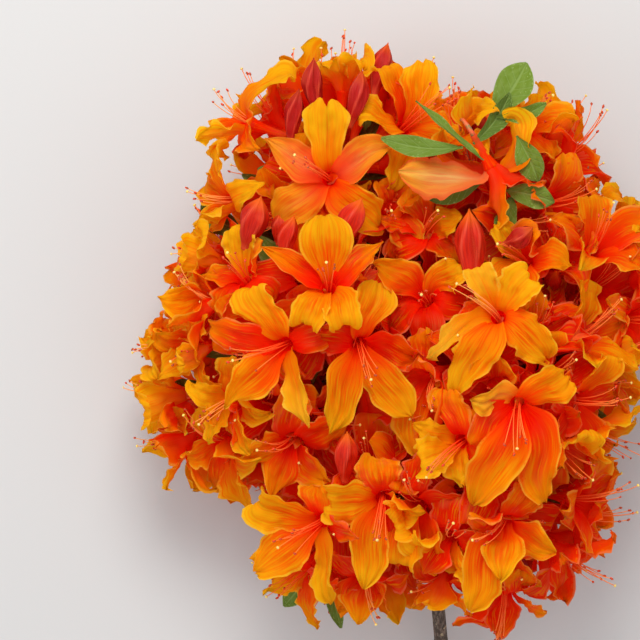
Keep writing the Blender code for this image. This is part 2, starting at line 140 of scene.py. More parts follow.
# What each of these blooms aims at, in the same order: its five petal tips, each with how golden its petal
# is and its width's share, and then the place of its stigma.
AIMED = {
    "top": [
        ((3, 105, 116, 0.94, 1.22), (-26, 87, 110, 0.36, 0.95), (-22, 47, 104, 0.62, 1.12),
         (29, 44, 102, 0.62, 1.05), (34, 84, 110, 0.42, 0.9), (-12, 78, 134)),
        ((-13, 121, 90, 0.95, 1.0), (-39, 106, 62, 0.55, 0.9), (-46, 80, 66, 0.5, 0.9),
         (-59, 87, 98, 1.08, 0.8), (-30, 82, 108, 0.25, 1.0), (-51, 111, 98)),
        ((10, 124, 48, 0.8, 1.1), (-14, 121, 74, 0.35, 0.8), (1, 124, 98, 0.85, 1.0),
         (22, 123, 98, 0.85, 1.0), (34, 118, 70, 0.5, 0.9), (12, 141, 84)),
        ((50, 124, 104, 0.72, 1.05), (31, 122, 104, 0.42, 1.05), (18, 100, 106, 0.8, 1.0),
         (35, 62, 98, 0.95, 1.05), (69, 83, 100, 0.72, 1.15), (62, 111, 112)),
        ((-47, 86, 88, 0.8, 1.0), (-54, 70, 62, 0.5, 0.9), (-56, 44, 66, 0.6, 0.9),
         (-59, 45, 92, 0.98, 0.9), (-27, 65, 104, 1.0, 0.7), (-64, 62, 92)),
    ],
    "upper_left": [
        ((-38, 45, 108, 1.08, 1.05), (-56, 20, 92, 0.35, 0.9), (-46, -4, 98, 0.2, 0.9),
         (-22, 6, 104, 0.05, 0.95), (-27, 38, 114, 0.25, 0.9), (-44, 32, 124)),
        ((-54, 37, 92, 0.98, 1.1), (-60, 42, 66, 0.7, 0.9), (-66, 18, 66, 0.6, 0.9),
         (-62, 12, 90, 0.3, 0.9), (-64, 31, 92, 1.0, 1.1), (-72, 32, 84)),
        ((-60, 24, 82, 0.6, 0.95), (-72, 0, 72, 0.4, 0.9), (-60, -20, 92, 0.35, 0.95),
         (-73, -4, 104, 0.3, 0.95), (-77, 10, 98, 0.62, 1.25), (-70, 23, 100)),
        ((-56, 2, 96, 0.5, 0.9), (-80, -6, 80, 0.4, 0.9), (-78, -28, 80, 0.8, 0.9),
         (-66, -21, 98, 1.1, 0.8), (-46, -36, 92, 0.8, 0.75), (-72, -20, 96)),
    ],
    "middle": [
        ((2, 50, 136, 0.84, 1.42), (-28, 35, 128, 0.34, 0.68), (-6, -2, 130, 0.88, 0.98),
         (11, -2, 132, 0.9, 1.0), (30, 37, 128, 0.4, 0.68), (3, 27, 150)),
        ((-34, 17, 126, 0.86, 1.2), (-54, -2, 120, 0.22, 0.98), (-46, -41, 116, 0.62, 1.1),
         (-6, -50, 128, 1.14, 0.74), (-3, -6, 108, 0.3, 0.78), (-41, -19, 146)),
        ((28, 18, 116, 0.72, 1.15), (-6, -5, 112, 0.02, 0.9), (5, -54, 114, 0.72, 0.9),
         (43, -45, 118, 0.66, 1.1), (49, -16, 110, 0.18, 1.0), (24, -28, 146)),
    ],
    "left": [
        ((-76, 0, 74, 0.2, 0.9), (-84, -10, 50, 0.5, 0.9), (-78, -28, 46, 0.6, 0.9),
         (-80, -27, 76, 0.98, 0.9), (-83, -9, 82, 0.6, 0.9), (-92, -16, 62)),
        ((-70, -18, 76, 0.8, 0.95), (-84, -24, 44, 0.6, 0.9), (-82, -56, 42, 0.6, 0.9),
         (-74, -52, 82, 0.15, 1.0), (-86, -44, 74, 0.92, 1.15), (-99, -33, 62)),
        ((-66, -44, 70, 0.9, 0.9), (-88, -65, 44, 0.95, 0.85), (-74, -84, 54, 0.45, 1.25),
         (-54, -84, 62, 0.3, 1.0), (-80, -62, 72, 0.12, 1.0), (-90, -62, 52)),
        ((-56, -42, 90, 0.5, 0.95), (-66, -66, 66, 0.3, 0.9), (-48, -86, 50, 0.4, 0.9),
         (-31, -94, 64, 0.55, 1.15), (-30, -68, 100, 0.6, 0.9), (-66, -46, 88)),
        ((-40, -18, 104, 0.5, 0.95), (-60, -32, 94, 1.0, 0.85), (-54, -60, 90, 0.95, 0.8),
         (-33, -64, 100, 0.45, 0.9), (-24, -45, 104, 0.72, 0.7), (-58, -50, 108)),
        ((-12, -34, 104, 0.05, 1.0), (-38, -66, 98, 0.35, 1.2), (-24, -86, 88, 0.3, 1.0),
         (4, -77, 104, 0.16, 1.35), (12, -46, 96, 0.0, 0.9), (-30, -62, 118)),
    ],
    "foot": [
        ((-31, -87, 108, 0.8, 1.2), (-31, -121, 104, 0.66, 1.25), (5, -136, 96, 1.06, 0.72),
         (12, -100, 110, 0.3, 0.75), (1, -80, 98, 0.62, 0.95), (-20, -108, 126)),
        ((27, -65, 114, 0.48, 1.2), (3, -86, 112, 0.82, 1.3), (21, -128, 108, 0.74, 1.05),
         (38, -119, 100, 0.05, 0.9), (41, -88, 112, 0.72, 0.9), (27, -104, 134)),
        ((-24, -112, 86, 0.5, 0.9), (-34, -116, 66, 0.7, 0.8), (-27, -133, 76, 0.9, 0.8),
         (-2, -151, 64, 0.6, 1.15), (6, -126, 84, 0.0, 0.95), (-26, -134, 84)),
        ((6, -112, 86, 0.0, 1.0), (9, -143, 68, 0.4, 0.9), (19, -148, 78, 0.55, 1.25),
         (33, -140, 78, 0.45, 1.0), (40, -122, 84, 0.1, 0.9), (27, -147, 92)),
    ],
    "near": [
        ((100, 22, 142, 1.1, 1.08), (73, 26, 138, 1.15, 0.8), (51, -18, 128, 1.22, 0.66),
         (64, -36, 126, 0.85, 1.1), (107, -18, 132, 0.7, 1.1), (64, 17, 152)),
        ((116, -26, 138, 0.6, 1.1), (77, -38, 142, 1.15, 0.78), (72, -60, 134, 0.1, 1.15),
         (72, -89, 130, 0.46, 1.25), (106, -86, 130, 0.34, 1.1), (92, -60, 158)),
        ((60, -33, 128, 0.25, 1.0), (45, -50, 128, 0.95, 0.65), (53, -64, 130, 1.02, 1.1),
         (70, -79, 130, 1.08, 0.85), (84, -72, 124, 0.45, 1.0), (50, -74, 144)),
        ((52, -8, 112, 0.1, 0.95), (34, -40, 104, 0.15, 1.0), (47, -67, 106, 0.45, 1.2),
         (62, -58, 104, 0.3, 0.95), (50, -19, 124, 0.02, 0.95), (53, -43, 130)),
    ],
    "low_right": [
        ((52, -64, 108, 0.1, 0.95), (40, -94, 114, 0.7, 1.15), (38, -118, 110, 0.62, 1.15),
         (56, -122, 102, 0.45, 1.0), (74, -84, 106, 0.2, 0.95), (40, -76, 122)),
        ((66, -80, 112, 0.1, 1.0), (46, -104, 118, 0.85, 1.15), (52, -118, 106, 0.05, 1.0),
         (70, -119, 112, 0.82, 0.75), (84, -102, 110, 0.3, 1.0), (63, -96, 134)),
        ((50, -112, 92, 0.4, 0.95), (48, -136, 76, 0.4, 0.9), (53, -136, 96, 0.62, 1.15),
         (70, -137, 84, 0.55, 1.1), (80, -116, 92, 0.5, 1.0), (44, -131, 92)),
        ((100, -78, 124, 0.4, 1.0), (78, -92, 124, 0.35, 0.95), (72, -139, 112, 0.58, 1.15),
         (86, -122, 124, 0.68, 1.15), (112, -110, 118, 0.5, 1.1), (72, -104, 134)),
        ((96, -122, 92, 0.3, 0.95), (76, -128, 84, 0.4, 0.9), (64, -147, 84, 0.02, 1.0),
         (86, -154, 72, 0.05, 1.1), (108, -140, 76, 0.4, 1.0), (84, -160, 80)),
    ],
    "inner": [
        ((70, 24, 116, 0.72, 1.2), (27, 27, 112, 0.45, 1.15), (33, -8, 98, 0.0, 0.95),
         (56, -16, 94, 0.0, 0.95), (76, 2, 98, 0.1, 0.9), (48, 12, 130)),
        ((44, 64, 104, 0.45, 1.0), (28, 48, 98, 0.15, 0.9), (36, 30, 92, 0.1, 0.9),
         (58, 32, 96, 0.35, 0.9), (64, 47, 104, 0.7, 0.95), (56, 52, 124)),
        ((30, 62, 100, 0.3, 0.95), (14, 52, 96, 0.1, 0.9), (22, 36, 90, 0.05, 0.9),
         (42, 38, 96, 0.45, 0.9), (46, 58, 100, 0.4, 0.9), (34, 52, 120)),
    ],
    "right_top": [
        ((91, 99, 114, 0.95, 0.95), (60, 92, 110, 0.5, 0.75), (38, 70, 122, 0.62, 1.15),
         (84, 40, 112, 0.48, 1.05), (103, 66, 112, 0.0, 0.95), (88, 56, 104)),
        ((72, 108, 122, 1.1, 0.95), (55, 106, 96, 0.25, 0.9), (50, 76, 92, 0.6, 0.9),
         (80, 80, 116, 0.6, 0.8), (84, 101, 118, 1.02, 0.9), (62, 111, 108)),
        ((101, 108, 90, 0.75, 1.1), (88, 112, 84, 0.7, 0.9), (88, 82, 84, 0.3, 0.9),
         (112, 76, 84, 0.4, 0.9), (122, 98, 84, 0.6, 1.0), (112, 108, 100)),
    ],
    "right": [
        ((102, 42, 124, 0.15, 1.05), (84, 46, 112, 0.9, 0.8), (80, 14, 118, 0.85, 0.95),
         (98, 4, 116, 0.6, 1.1), (120, 26, 116, 0.5, 1.0), (84, 36, 130)),
    ],
}

# The kinds of petal that stand out, as what each changes in a lobe's usual form: a round upright flag, a
# cleft one, a narrow lance, a lip that rolls over, a tip turned back, a strap, one that curls inward and
# one that lies broadside.
FLAG = {"swell": 1.15, "point": 0.52, "end": 0.975, "round": 0.03, "wave": 0.0005, "frill": 0.0002,
        "hook": 0.0, "twist": 0.0, "joined": 0.62, "cup": 24.0, "roll": 0.0008, "crumple": 0.00012}
CLEFT = {"swell": 1.3, "point": 0.42, "end": 0.96, "round": 0.06, "notch": 0.095, "crease": 0.0022,
         "wave": 0.0014, "hook": 0.5, "twist": 0.0, "joined": 0.9, "cup": -16.0, "fold": 0.0}
LANCE = {"swell": 0.95, "point": 1.2, "fold": 0.42, "hook": 0.0, "joined": 0.7}
LIP = {"swell": 0.8, "point": 0.46, "end": 0.95, "round": 0.05, "hook": 1.9, "wave": 0.0018, "frill": 0.0012,
       "twist": 0.0, "cup": 20.0}
TURNED = {"swell": 1.1, "point": 0.42, "end": 0.95, "round": 0.05, "hook": 2.1, "twist": 0.15, "fold": 0.05}
STRAP = {"swell": 0.8, "point": 0.70, "hook": 0.4, "twist": 0.12, "fold": 0.2, "joined": 0.6}
INWARD = {"hook": -1.6, "point": 0.60, "roll": 0.0024, "twist": 0.2}
BROADSIDE = {"twist": -1.5, "late": 0.45, "fold": 0.22, "cup": 0.0, "joined": 0.4, "wave": 0.0026,
             "hook": 0.0, "swell": 1.05, "point": 0.72, "frill": 0.0014, "pleat": 0.0009, "crease": 0.0008,
             "spent": 1.0}

# Each bloom's five petals in the order of its tips, where their form isn't only the usual one.
SHAPED = {
    "bloom_middle_1": (FLAG, LANCE, LIP, LIP, LANCE),
    "bloom_middle_2": (TURNED, {}, {"hook": 0.3, "frill": 0.0016}, STRAP, LANCE),
    "bloom_middle_3": (FLAG, LANCE, {"hook": 0.2, "point": 0.8}, {"hook": 0.3, "point": 0.7}, LANCE),
    "bloom_top_1": (CLEFT, {"hook": 0.4, "spent": 0.35}, {"point": 0.6, "spent": 0.15},
                    {"point": 0.7, "hook": 0.8}, {"hook": 0.3, "spent": 0.3}),
    "bloom_top_2": (TURNED, LANCE, {}, STRAP, {}),
    "bloom_top_4": ({}, TURNED, TURNED, {"hook": 0.9}, {}),
    "bloom_upper_left_1": (TURNED, LANCE, {}, {}, LANCE),
    "bloom_upper_left_2": (TURNED, {}, {}, {}, TURNED),
    "bloom_left_2": ({}, {}, {}, {}, TURNED),
    "bloom_foot_1": (TURNED, {"hook": 0.9}, STRAP, LANCE, {}),
    "bloom_foot_2": ({"hook": 0.8}, LIP, {"point": 0.9, "hook": 0.4}, LANCE, {"hook": 1.0}),
    "bloom_near_1": (TURNED, TURNED, STRAP, {"hook": 0.6}, {}),
    "bloom_near_2": ({}, {**STRAP, "twist": 0.0, "spent": 0.2}, {}, {"hook": 0.5}, {}),
    "bloom_near_3": ({}, STRAP, TURNED, INWARD, {}),
    "bloom_low_right_1": ({}, TURNED, LIP, {}, {}),
    "bloom_low_right_2": ({}, LIP, {}, STRAP, {}),
    "bloom_low_right_4": ({}, {}, {"hook": 0.4}, {"hook": 0.9}, {}),
    "bloom_right_top_1": ({"twist": 0.9}, LANCE, BROADSIDE, {"hook": 0.3, "twist": 0.4}, {}),
}

# The blooms whose stamens are pale, and how much more golden than usual each truss is. The foot and low
# right trusses' redder shifts are partly painted shade over the lower part of the head.
PALE_STAMENS = ("bloom_top_2", "bloom_top_5", "bloom_upper_left_2", "bloom_upper_left_3", "bloom_left_1",
                "bloom_left_2", "bloom_left_3", "bloom_near_1", "bloom_left_5", "bloom_foot_4")
GOLD_SHIFT = {"top": 0.14, "left": 0.24, "upper_left": 0.18, "right_top": 0.12, "near": 0.14, "foot": -0.18,
              "low_right": -0.10, "right": 0.12}

# Each bud that stands clear of the petals: its foot, its tip and its share of the usual radius.
BUDS = [
    ((0, 98, 98), (-3, 126, 102), 1.0), ((14, 92, 106), (20, 120, 108), 0.95),
    ((26, 108, 92), (33, 134, 90), 1.0), ((-14, 84, 98), (-10, 111, 104), 0.9),
    ((-36, 34, 104), (-28, 59, 116), 1.35), ((-16, 28, 112), (-12, 50, 120), 0.95),
    ((-20, 36, 100), (-19, 52, 104), 0.8), ((10, 34, 116), (20, 58, 122), 1.25),
    ((12, -78, 104), (13, -53, 114), 1.1), ((74, 14, 114), (71, 53, 120), 1.45),
    ((88, 36, 116), (101, 44, 128), 1.0),
]

# Each leaf that shows between the blooms: its foot, its tip, its width and its roll in degrees.
LEAVES = [
    ((68, 82, 122), (29, 87, 120), 10, 8), ((78, 76, 118), (47, 106, 116), 8, 62),
    ((78, 66, 106), (52, 58, 104), 12, -10), ((-38, 44, 74), (-56, 50, 70), 13, 15),
    ((-44, 66, 66), (-58, 52, 62), 12, -10), ((-60, -30, 60), (-72, -38, 52), 12, 10),
    ((73, 84, 116), (92, 108, 112), 11, 30), ((82, 98, 108), (99, 124, 104), 18, -12),
    ((84, 97, 114), (108, 103, 116), 8, 20), ((94, 88, 112), (104, 66, 110), 14, 25),
    ((92, 60, 108), (86, 40, 106), 11, -20), ((88, 62, 110), (112, 56, 112), 12, 12),
    ((-14, 62, 84), (-30, 74, 80), 12, 10), ((8, -112, 60), (10, -152, 52), 9, 15),
    ((2, -118, 58), (-18, -142, 46), 12, -10), ((22, 92, 88), (24, 102, 92), 7, 10),
]

# The middle lines of the stem, from its cut to its fork, and of each bough, from the stem to its truss.
STEM_ROUTE = [(63, -214, 4.4), (63, -205, 4.4), (61, -165, 13), (56, -120, 33), (50, -80, 48), (45, -45, 52)]
BOUGH_ROUTES = {
    "left": [(46, -50, 51.5), (15, -44, 50), (-12, -36, 50)],
    "middle": [(46, -56, 51), (28, -30, 58), (8, -4, 68)],
    "top": [(45, -47, 52), (36, 0, 48), (22, 42, 52), (13, 60, 56)],
    "right": [(47, -60, 50.5), (66, -38, 60), (86, -28, 72)],
    "low_left": [(53, -102, 40.5), (42, -96, 50), (32, -88, 56)],
    "low_right": [(54, -106, 39), (66, -96, 52), (80, -84, 62)],
}


def measure(name, description, default):
    """A size in metres that the panel shows."""
    return FloatProperty(name=name, description=description, default=default, unit="LENGTH",
                         subtype="DISTANCE")


def colour(name, description, default):
    """A colour that the panel shows."""
    return FloatVectorProperty(name=name, description=description, default=default, subtype="COLOR",
                               min=0.0, max=1.0)


class AzaleaFlowerSizes(PropertyGroup):
    """The driving sizes of a flower and a bud"""

    petal_length: measure("Petal length", "From the throat to a petal's tip, along it", 0.0375)
    petal_width: measure("Petal width", "Across a petal at its widest", 0.0195)
    petal_thickness: measure("Petal thickness", "Through the middle of a petal", 0.00045)
    throat_radius: measure("Throat radius", "Of the tube's mouth", 0.0040)
    tube_length: measure("Tube length", "From the flower's foot to its throat", 0.020)
    tube_radius: measure("Tube radius", "Of the tube's narrow part", 0.0017)
    stamen_length: measure("Stamen length", "From inside the tube to an anther", 0.042)
    filament_radius: measure("Filament radius", "Of a stamen's stalk", 0.00023)
    bud_radius: measure("Bud radius", "Of a bud at its fattest", 0.0047)


class AzaleaWoodSizes(PropertyGroup):
    """The driving sizes of the wood"""

    stem_radius_cut: measure("Stem radius at the cut", "Of the main stem at its lower end", 0.0036)
    stem_radius_fork: measure("Stem radius at the fork", "Of the main stem at its upper end", 0.0030)
    bough_radius: measure("Bough radius", "Of a bough where it leaves the stem", 0.0024)
    bough_tip_radius: measure("Bough tip radius", "Of a bough where it enters its truss", 0.0016)
    twig_radius: measure("Twig radius", "Of the young shoots under the trusses", 0.0013)


class AzaleaColours(PropertyGroup):
    """The colours of every finish"""

    throat: colour("Throat", "Deep in the flower", (0.98, 0.006, 0.0))
    flame: colour("Flame", "The lower part of a petal", (0.99, 0.034, 0.001))
    orange: colour("Orange", "The middle of a petal", (0.99, 0.175, 0.001))
    gold: colour("Gold", "The upper petal and the tips", (0.99, 0.43, 0.003))
    # Yellow, cream and rose also tint a petal's thin rim and pale tips, which are painted highlight, partly
    # the margin's own paler tint.
    yellow: colour("Yellow", "The tips of the most golden petals", (0.99, 0.62, 0.008))
    cream: colour("Cream", "The thin rim of a golden petal", (0.99, 0.74, 0.08))
    rose: colour("Rose", "The thin rim of a red petal", (0.99, 0.3, 0.11))
    salmon: colour("Salmon", "Clouds on the redder petals, and their backs", (0.98, 0.17, 0.05))
    peach: colour("Peach", "A spent petal, and the palest stamens", (0.98, 0.43, 0.09))
    ivory: colour("Ivory", "The middle of a spent petal", (0.98, 0.7, 0.25))
    coral: colour("Coral", "The outside of the tube", (0.97, 0.11, 0.035))
    bud_red: colour("Bud red", "The sides of a bud", (0.45, 0.008, 0.005))
    # Bud pink on a bud's ridges is painted highlight, partly the wrapped petals' own paler edges.
    bud_pink_and_highlight: colour("Bud pink", "The ridges of a bud", (0.84, 0.1, 0.045))
    filament: colour("Filament", "A stamen's stalk", (0.97, 0.22, 0.04))
    anther: colour("Anther", "A stamen's tip", (0.22, 0.08, 0.012))
    stigma: colour("Stigma", "The style's round tip", (0.82, 0.6, 0.25))
    leaf: colour("Leaf", "The upper side of a leaf", (0.165, 0.255, 0.02))
    leaf_pale: colour("Leaf veins", "The veins and the underside", (0.29, 0.4, 0.1))
    leaf_dark: colour("Dark leaf", "The upper side of the darker leaves", (0.055, 0.115, 0.028))
    bark: colour("Bark", "The old wood", (0.06, 0.04, 0.028))
    bark_pale: colour("Bark ridges", "The worn ridges of the bark", (0.19, 0.135, 0.095))
    twig: colour("Twig", "The young shoots and flower stalks", (0.23, 0.19, 0.045))
    cut_wood: colour("Cut wood", "The flat cut", (0.56, 0.43, 0.25))
    floor: colour("Floor", "The plain stage", (0.605, 0.598, 0.584))


class AzaleaDetail(PropertyGroup):
    """How finely the petals are made"""

    bloom_rows: IntProperty(name="Rows", description="Faces along a bloom's petal", default=26, min=6)
    bloom_columns: IntProperty(name="Columns", description="Faces across a bloom's petal", default=14, min=4)
    crowd_rows: IntProperty(name="Crowd rows", description="Faces along a crowded petal", default=14, min=6)
    crowd_columns: IntProperty(name="Crowd columns", description="Faces across a crowded petal", default=8,
                               min=4)


# -------------------- numbers and surfaces


def smooth(x, low, high):
    """0 below low, 1 above high, and an S-shaped rise between them."""
    share = np.clip((np.asarray(x, float) - low) / (high - low), 0.0, 1.0)
    return share * share * (3.0 - 2.0 * share)


def seeded(name):
    """Random numbers of its own for each name, the same in every run."""
    return np.random.default_rng(zlib.crc32(name.encode()))


def placed(point):
    """A place in the tables as one in the frame."""
    return np.asarray(point, float) * MM + CROWN_AT


def unit(vector):
    """Vectors made one long."""
    vector = np.asarray(vector, float)
    return vector / np.linalg.norm(vector, axis=-1, keepdims=True)


def facing(turn, lean):
    """The direction that leans from +Z by lean degrees, towards turn degrees round it."""
    turn, lean = math.radians(turn), math.radians(lean)
    return np.array([math.sin(lean) * math.cos(turn), math.sin(lean) * math.sin(turn), math.cos(lean)])


def running(values, step):
    """The running integral down the first axis, by the trapezium rule, from nought."""
    middles = (values[1:] + values[:-1]) * 0.5 * step
    return np.concatenate([np.zeros_like(values[:1]), np.cumsum(middles, axis=0)])


def smooth_route(points, steps):
    """A Catmull-Rom curve through points, with steps stretches between each two."""
    points = np.asarray(points, float)
    ends = np.vstack([2 * points[0] - points[1], points, 2 * points[-1] - points[-2]])
    t = (np.arange(steps) / steps)[:, None]
    runs = []
    for a, b, c, d in zip(ends, ends[1:], ends[2:], ends[3:]):
        runs.append(0.5 * (2 * b + (c - a) * t + (2 * a - 5 * b + 4 * c - d) * t**2
                           + (3 * b - a - 3 * c + d) * t**3))
    return np.vstack([*runs, points[-1:]])


def axes_for(axis, upper=(0.0, 1.0, 0.0), roll=0.0):
    """Three columns: the way as near to upper as a face square to axis allows, its side, and axis."""
    axis = unit(axis)
    lifted = np.asarray(upper, float) - axis * np.dot(axis, upper)
    if np.linalg.norm(lifted) < 0.2:
        lifted = np.array([0.0, 0.0, 1.0]) - axis * axis[2]
    lifted = unit(lifted)
    side = np.cross(axis, lifted)
    turned = lifted * math.cos(roll) + side * math.sin(roll)
    return np.stack([turned, np.cross(axis, turned), axis], axis=1)


class Patch:
    """One surface: points, four-cornered faces, a place in the bake layout for each corner, two sets of
    four numbers at each point that its material reads, and the points where two of its sides meet."""

    def __init__(self, points, faces, uv, cells, tell, slot, rim=None):
        self.points, self.faces, self.uv = points, faces, uv
        self.cells, self.tell, self.slot = cells, tell, slot
        self.rim = np.zeros(len(points), bool) if rim is None else rim
        self.deal = np.zeros((len(points), 4))

    def dealt(self, *numbers):
        """Gives every point the same four numbers."""
        self.deal[:] = numbers
        return self

    def moved(self, matrix, at):
        """Turns the patch about the origin and then shifts it."""
        self.points = self.points @ matrix.T + at
        return self


def grid_faces(rows, columns, around=False):
    """Faces of a grid of rows by columns of faces, with their corners' places from 0 to 1. The grid's
    points run along a row first. A grid that goes around joins its last column to its first."""
    wide = columns if around else columns + 1
    i, j = np.meshgrid(np.arange(rows), np.arange(columns), indexing="ij")
    i, j = i.ravel(), j.ravel()
    k = (j + 1) % wide
    faces = np.stack([i * wide + j, (i + 1) * wide + j, (i + 1) * wide + k, i * wide + k], axis=1)
    across = np.stack([j, j, j + 1, j + 1], axis=1) / columns
    along = np.stack([i, i + 1, i + 1, i], axis=1) / rows
    return faces, np.stack([across, along], axis=2)


def shell(front, back, tell_across, tell_along, slot, cell):
    """A thin closed sheet between two grids of points that share their outer edge."""
    rows, columns = front.shape[0] - 1, front.shape[1] - 1
    faces, uv = grid_faces(rows, columns)
    count = front.shape[0] * front.shape[1]
    edge = np.ones(front.shape[:2], bool)
    edge[1:-1, 1:-1] = False
    edge = edge.ravel()
    renumber = np.arange(count)
    renumber[~edge] = count + np.arange((~edge).sum())
    points = np.vstack([front.reshape(-1, 3), back.reshape(-1, 3)[~edge]])
    across = np.broadcast_to(tell_across, front.shape[:2]).ravel()
    along = np.broadcast_to(tell_along, front.shape[:2]).ravel()
    tell = np.zeros((len(points), 4))
    tell[:count, 0], tell[:count, 1], tell[:count, 2] = along, across, np.where(edge, 0.5, 1.0)
    tell[count:, 0], tell[count:, 1] = along[~edge], across[~edge]
    both = np.vstack([faces, renumber[faces][:, ::-1]])
    both_uv = np.vstack([uv, uv[:, ::-1]])
    cells = [cell + ("front",)] * len(faces) + [cell + ("back",)] * len(faces)
    rim = np.concatenate([edge, np.zeros(len(points) - count, bool)])
    return Patch(points, both, both_uv, cells, tell, slot, rim)


def ring_patch(points, slot, cell):
    """A closed skin through rings of points, its two ends filled. Each ring has an even count."""
    rows, columns = points.shape[0] - 1, points.shape[1]
    faces, uv = grid_faces(rows, columns, around=True)
    fan = np.arange(1, columns // 2)
    first = np.stack([0 * fan, 2 * fan - 1, 2 * fan, 2 * fan + 1], axis=1)
    last = first[:, ::-1] + rows * columns
    tip = np.broadcast_to([[0.5, 0.5]], (len(fan), 4, 2)).copy()
    tip[:, :, 1], base = 0.99, tip.copy()
    base[:, :, 1] = 0.01
    tell = np.zeros((len(points) * columns, 4))
    tell[:, 0] = np.repeat(np.linspace(0, 1, rows + 1), columns)
    tell[:, 1] = np.tile(np.arange(columns) / columns, rows + 1)
    all_faces = np.vstack([faces, first, last])
    all_uv = np.vstack([uv, base, tip])
    return Patch(points.reshape(-1, 3), all_faces, all_uv, [cell] * len(all_faces), tell, slot)


def turned_points(radii, heights, sides):
    """Rings round Z: each radius at its height. Radii may differ round a ring."""
    angle = -2 * np.pi * np.arange(sides) / sides
    radii = np.broadcast_to(np.asarray(radii, float).reshape(len(heights), -1), (len(heights), sides))
    return np.stack(
        [radii * np.cos(angle), radii * np.sin(angle),
         np.broadcast_to(np.asarray(heights)[:, None], radii.shape)], axis=2,
    )


def carried_points(path, radii, sides):
    """Rings carried along a path, square to it, each with its radius."""
    path = np.asarray(path, float)
    along = unit(np.gradient(path, axis=0))
    mean = unit(path[-1] - path[0])
    guide = np.eye(3)[np.argmin(np.abs(mean))]
    across = unit(guide - along * (along @ guide)[:, None])
    side = np.cross(along, across)
    angle = -2 * np.pi * np.arange(sides) / sides
    radii = np.broadcast_to(np.asarray(radii, float).reshape(len(path), -1), (len(path), sides))
    ring = across[:, None] * np.cos(angle)[None, :, None] + side[:, None] * np.sin(angle)[None, :, None]
    return path[:, None] + ring * radii[:, :, None]


CELL_MARGIN = 0.04


def build_piece(name, patches, replaced):
    """Joins patches into one mesh object in place, each cell of them with its own square of the bake layout,
    hangs it under the root and hides the parts of the frame that it stands for."""
    starts = np.cumsum([0] + [len(p.points) for p in patches[:-1]])
    points = np.vstack([p.points for p in patches])
    faces = np.vstack([p.faces + start for p, start in zip(patches, starts)]).astype(np.int32)
    keys, number = {}, []
    for patch in patches:
        for cell in patch.cells:
            number.append(keys.setdefault(cell, len(keys)))
    number = np.array(number)
    side = math.ceil(math.sqrt(len(keys)))
    corner = np.stack([number % side, number // side], axis=1)[:, None, :]
    uv = (corner + CELL_MARGIN + (1 - 2 * CELL_MARGIN) * np.vstack([p.uv for p in patches])) / side
    mesh = bpy.data.meshes.new(name)
    mesh.vertices.add(len(points))
    mesh.vertices.foreach_set("co", points.astype(np.float32).ravel())
    mesh.loops.add(faces.size)
    mesh.loops.foreach_set("vertex_index", faces.ravel())
    mesh.polygons.add(len(faces))
    mesh.polygons.foreach_set("loop_start", np.arange(0, faces.size, 4, dtype=np.int32))
    slots = list(dict.fromkeys(p.slot for p in patches))
    which = np.concatenate([np.full(len(p.faces), slots.index(p.slot)) for p in patches])
    mesh.polygons.foreach_set("material_index", which.astype(np.int32))
    mesh.polygons.foreach_set("use_smooth", np.ones(len(faces), bool))
    layout = mesh.uv_layers.new(name="OFBake")
    layout.data.foreach_set("uv", uv.astype(np.float32).ravel())
    for title in ("tell", "deal"):
        values = np.vstack([getattr(p, title) for p in patches]).astype(np.float32)
        mesh.attributes.new(title, "FLOAT_COLOR", "POINT").data.foreach_set("color", values.ravel())
    for title in slots:
        mesh.materials.append(finish(title))
    mesh.update(calc_edges=True)
    mesh.validate()
    ends = np.empty(len(mesh.edges) * 2, np.int32)
    mesh.edges.foreach_get("vertices", ends)
    rim = np.concatenate([p.rim for p in patches])[ends.reshape(-1, 2)].all(axis=1)
    mesh.edges.foreach_set("use_edge_sharp", rim)
    piece = bpy.data.objects.new(name, mesh)
    bpy.context.scene.collection.objects.link(piece)
    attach(piece, "root")
    if replaced:
        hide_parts(*replaced)


# -------------------- one flower


# The lobes stand a fifth of a turn apart. Each starts a little below the throat, at a share of its radius,
# with its foot leaning out a little. Its funnel laps over its neighbours' and ends between two shares of
# its length, and by the last of these shares of its length its middle line has all of its lean.
LOBE_TURN = 2 * math.pi / 5
CLAW_LEAN = math.radians(16)
MOUTH_SHARE = 0.86
LOBE_FOOT = 0.003
FUNNEL_LAP = 1.12
FUNNEL_ENDS = (0.20, 0.52)
LEANT_BY = 0.42
LINE_STEPS = 120
LEAST_REACH = 0.002
LEAST_HALF_WIDTH = 0.0004
FOLD_ROUND = 0.0012
CREASE_WIDTH = 0.13
RAGGED = 50

# Fine waves over a petal: how many run along it and across it, and each one's share of the crumple's size.
CRUMPLES = ((3.1, 1.1, 1.0), (4.7, -0.8, 0.8), (6.3, 1.7, 0.5))

TUBE_RIM_DROP = 0.0022
TUBE_WALL = 0.0004


def blade(s, swell, point):
    """A leaf-like outline: nought at both ends, 1 at its widest. A small point makes a blunt tip."""
    widest = swell / (swell + point)
    return (s / widest) ** swell * ((1 - s) / (1 - widest)) ** point


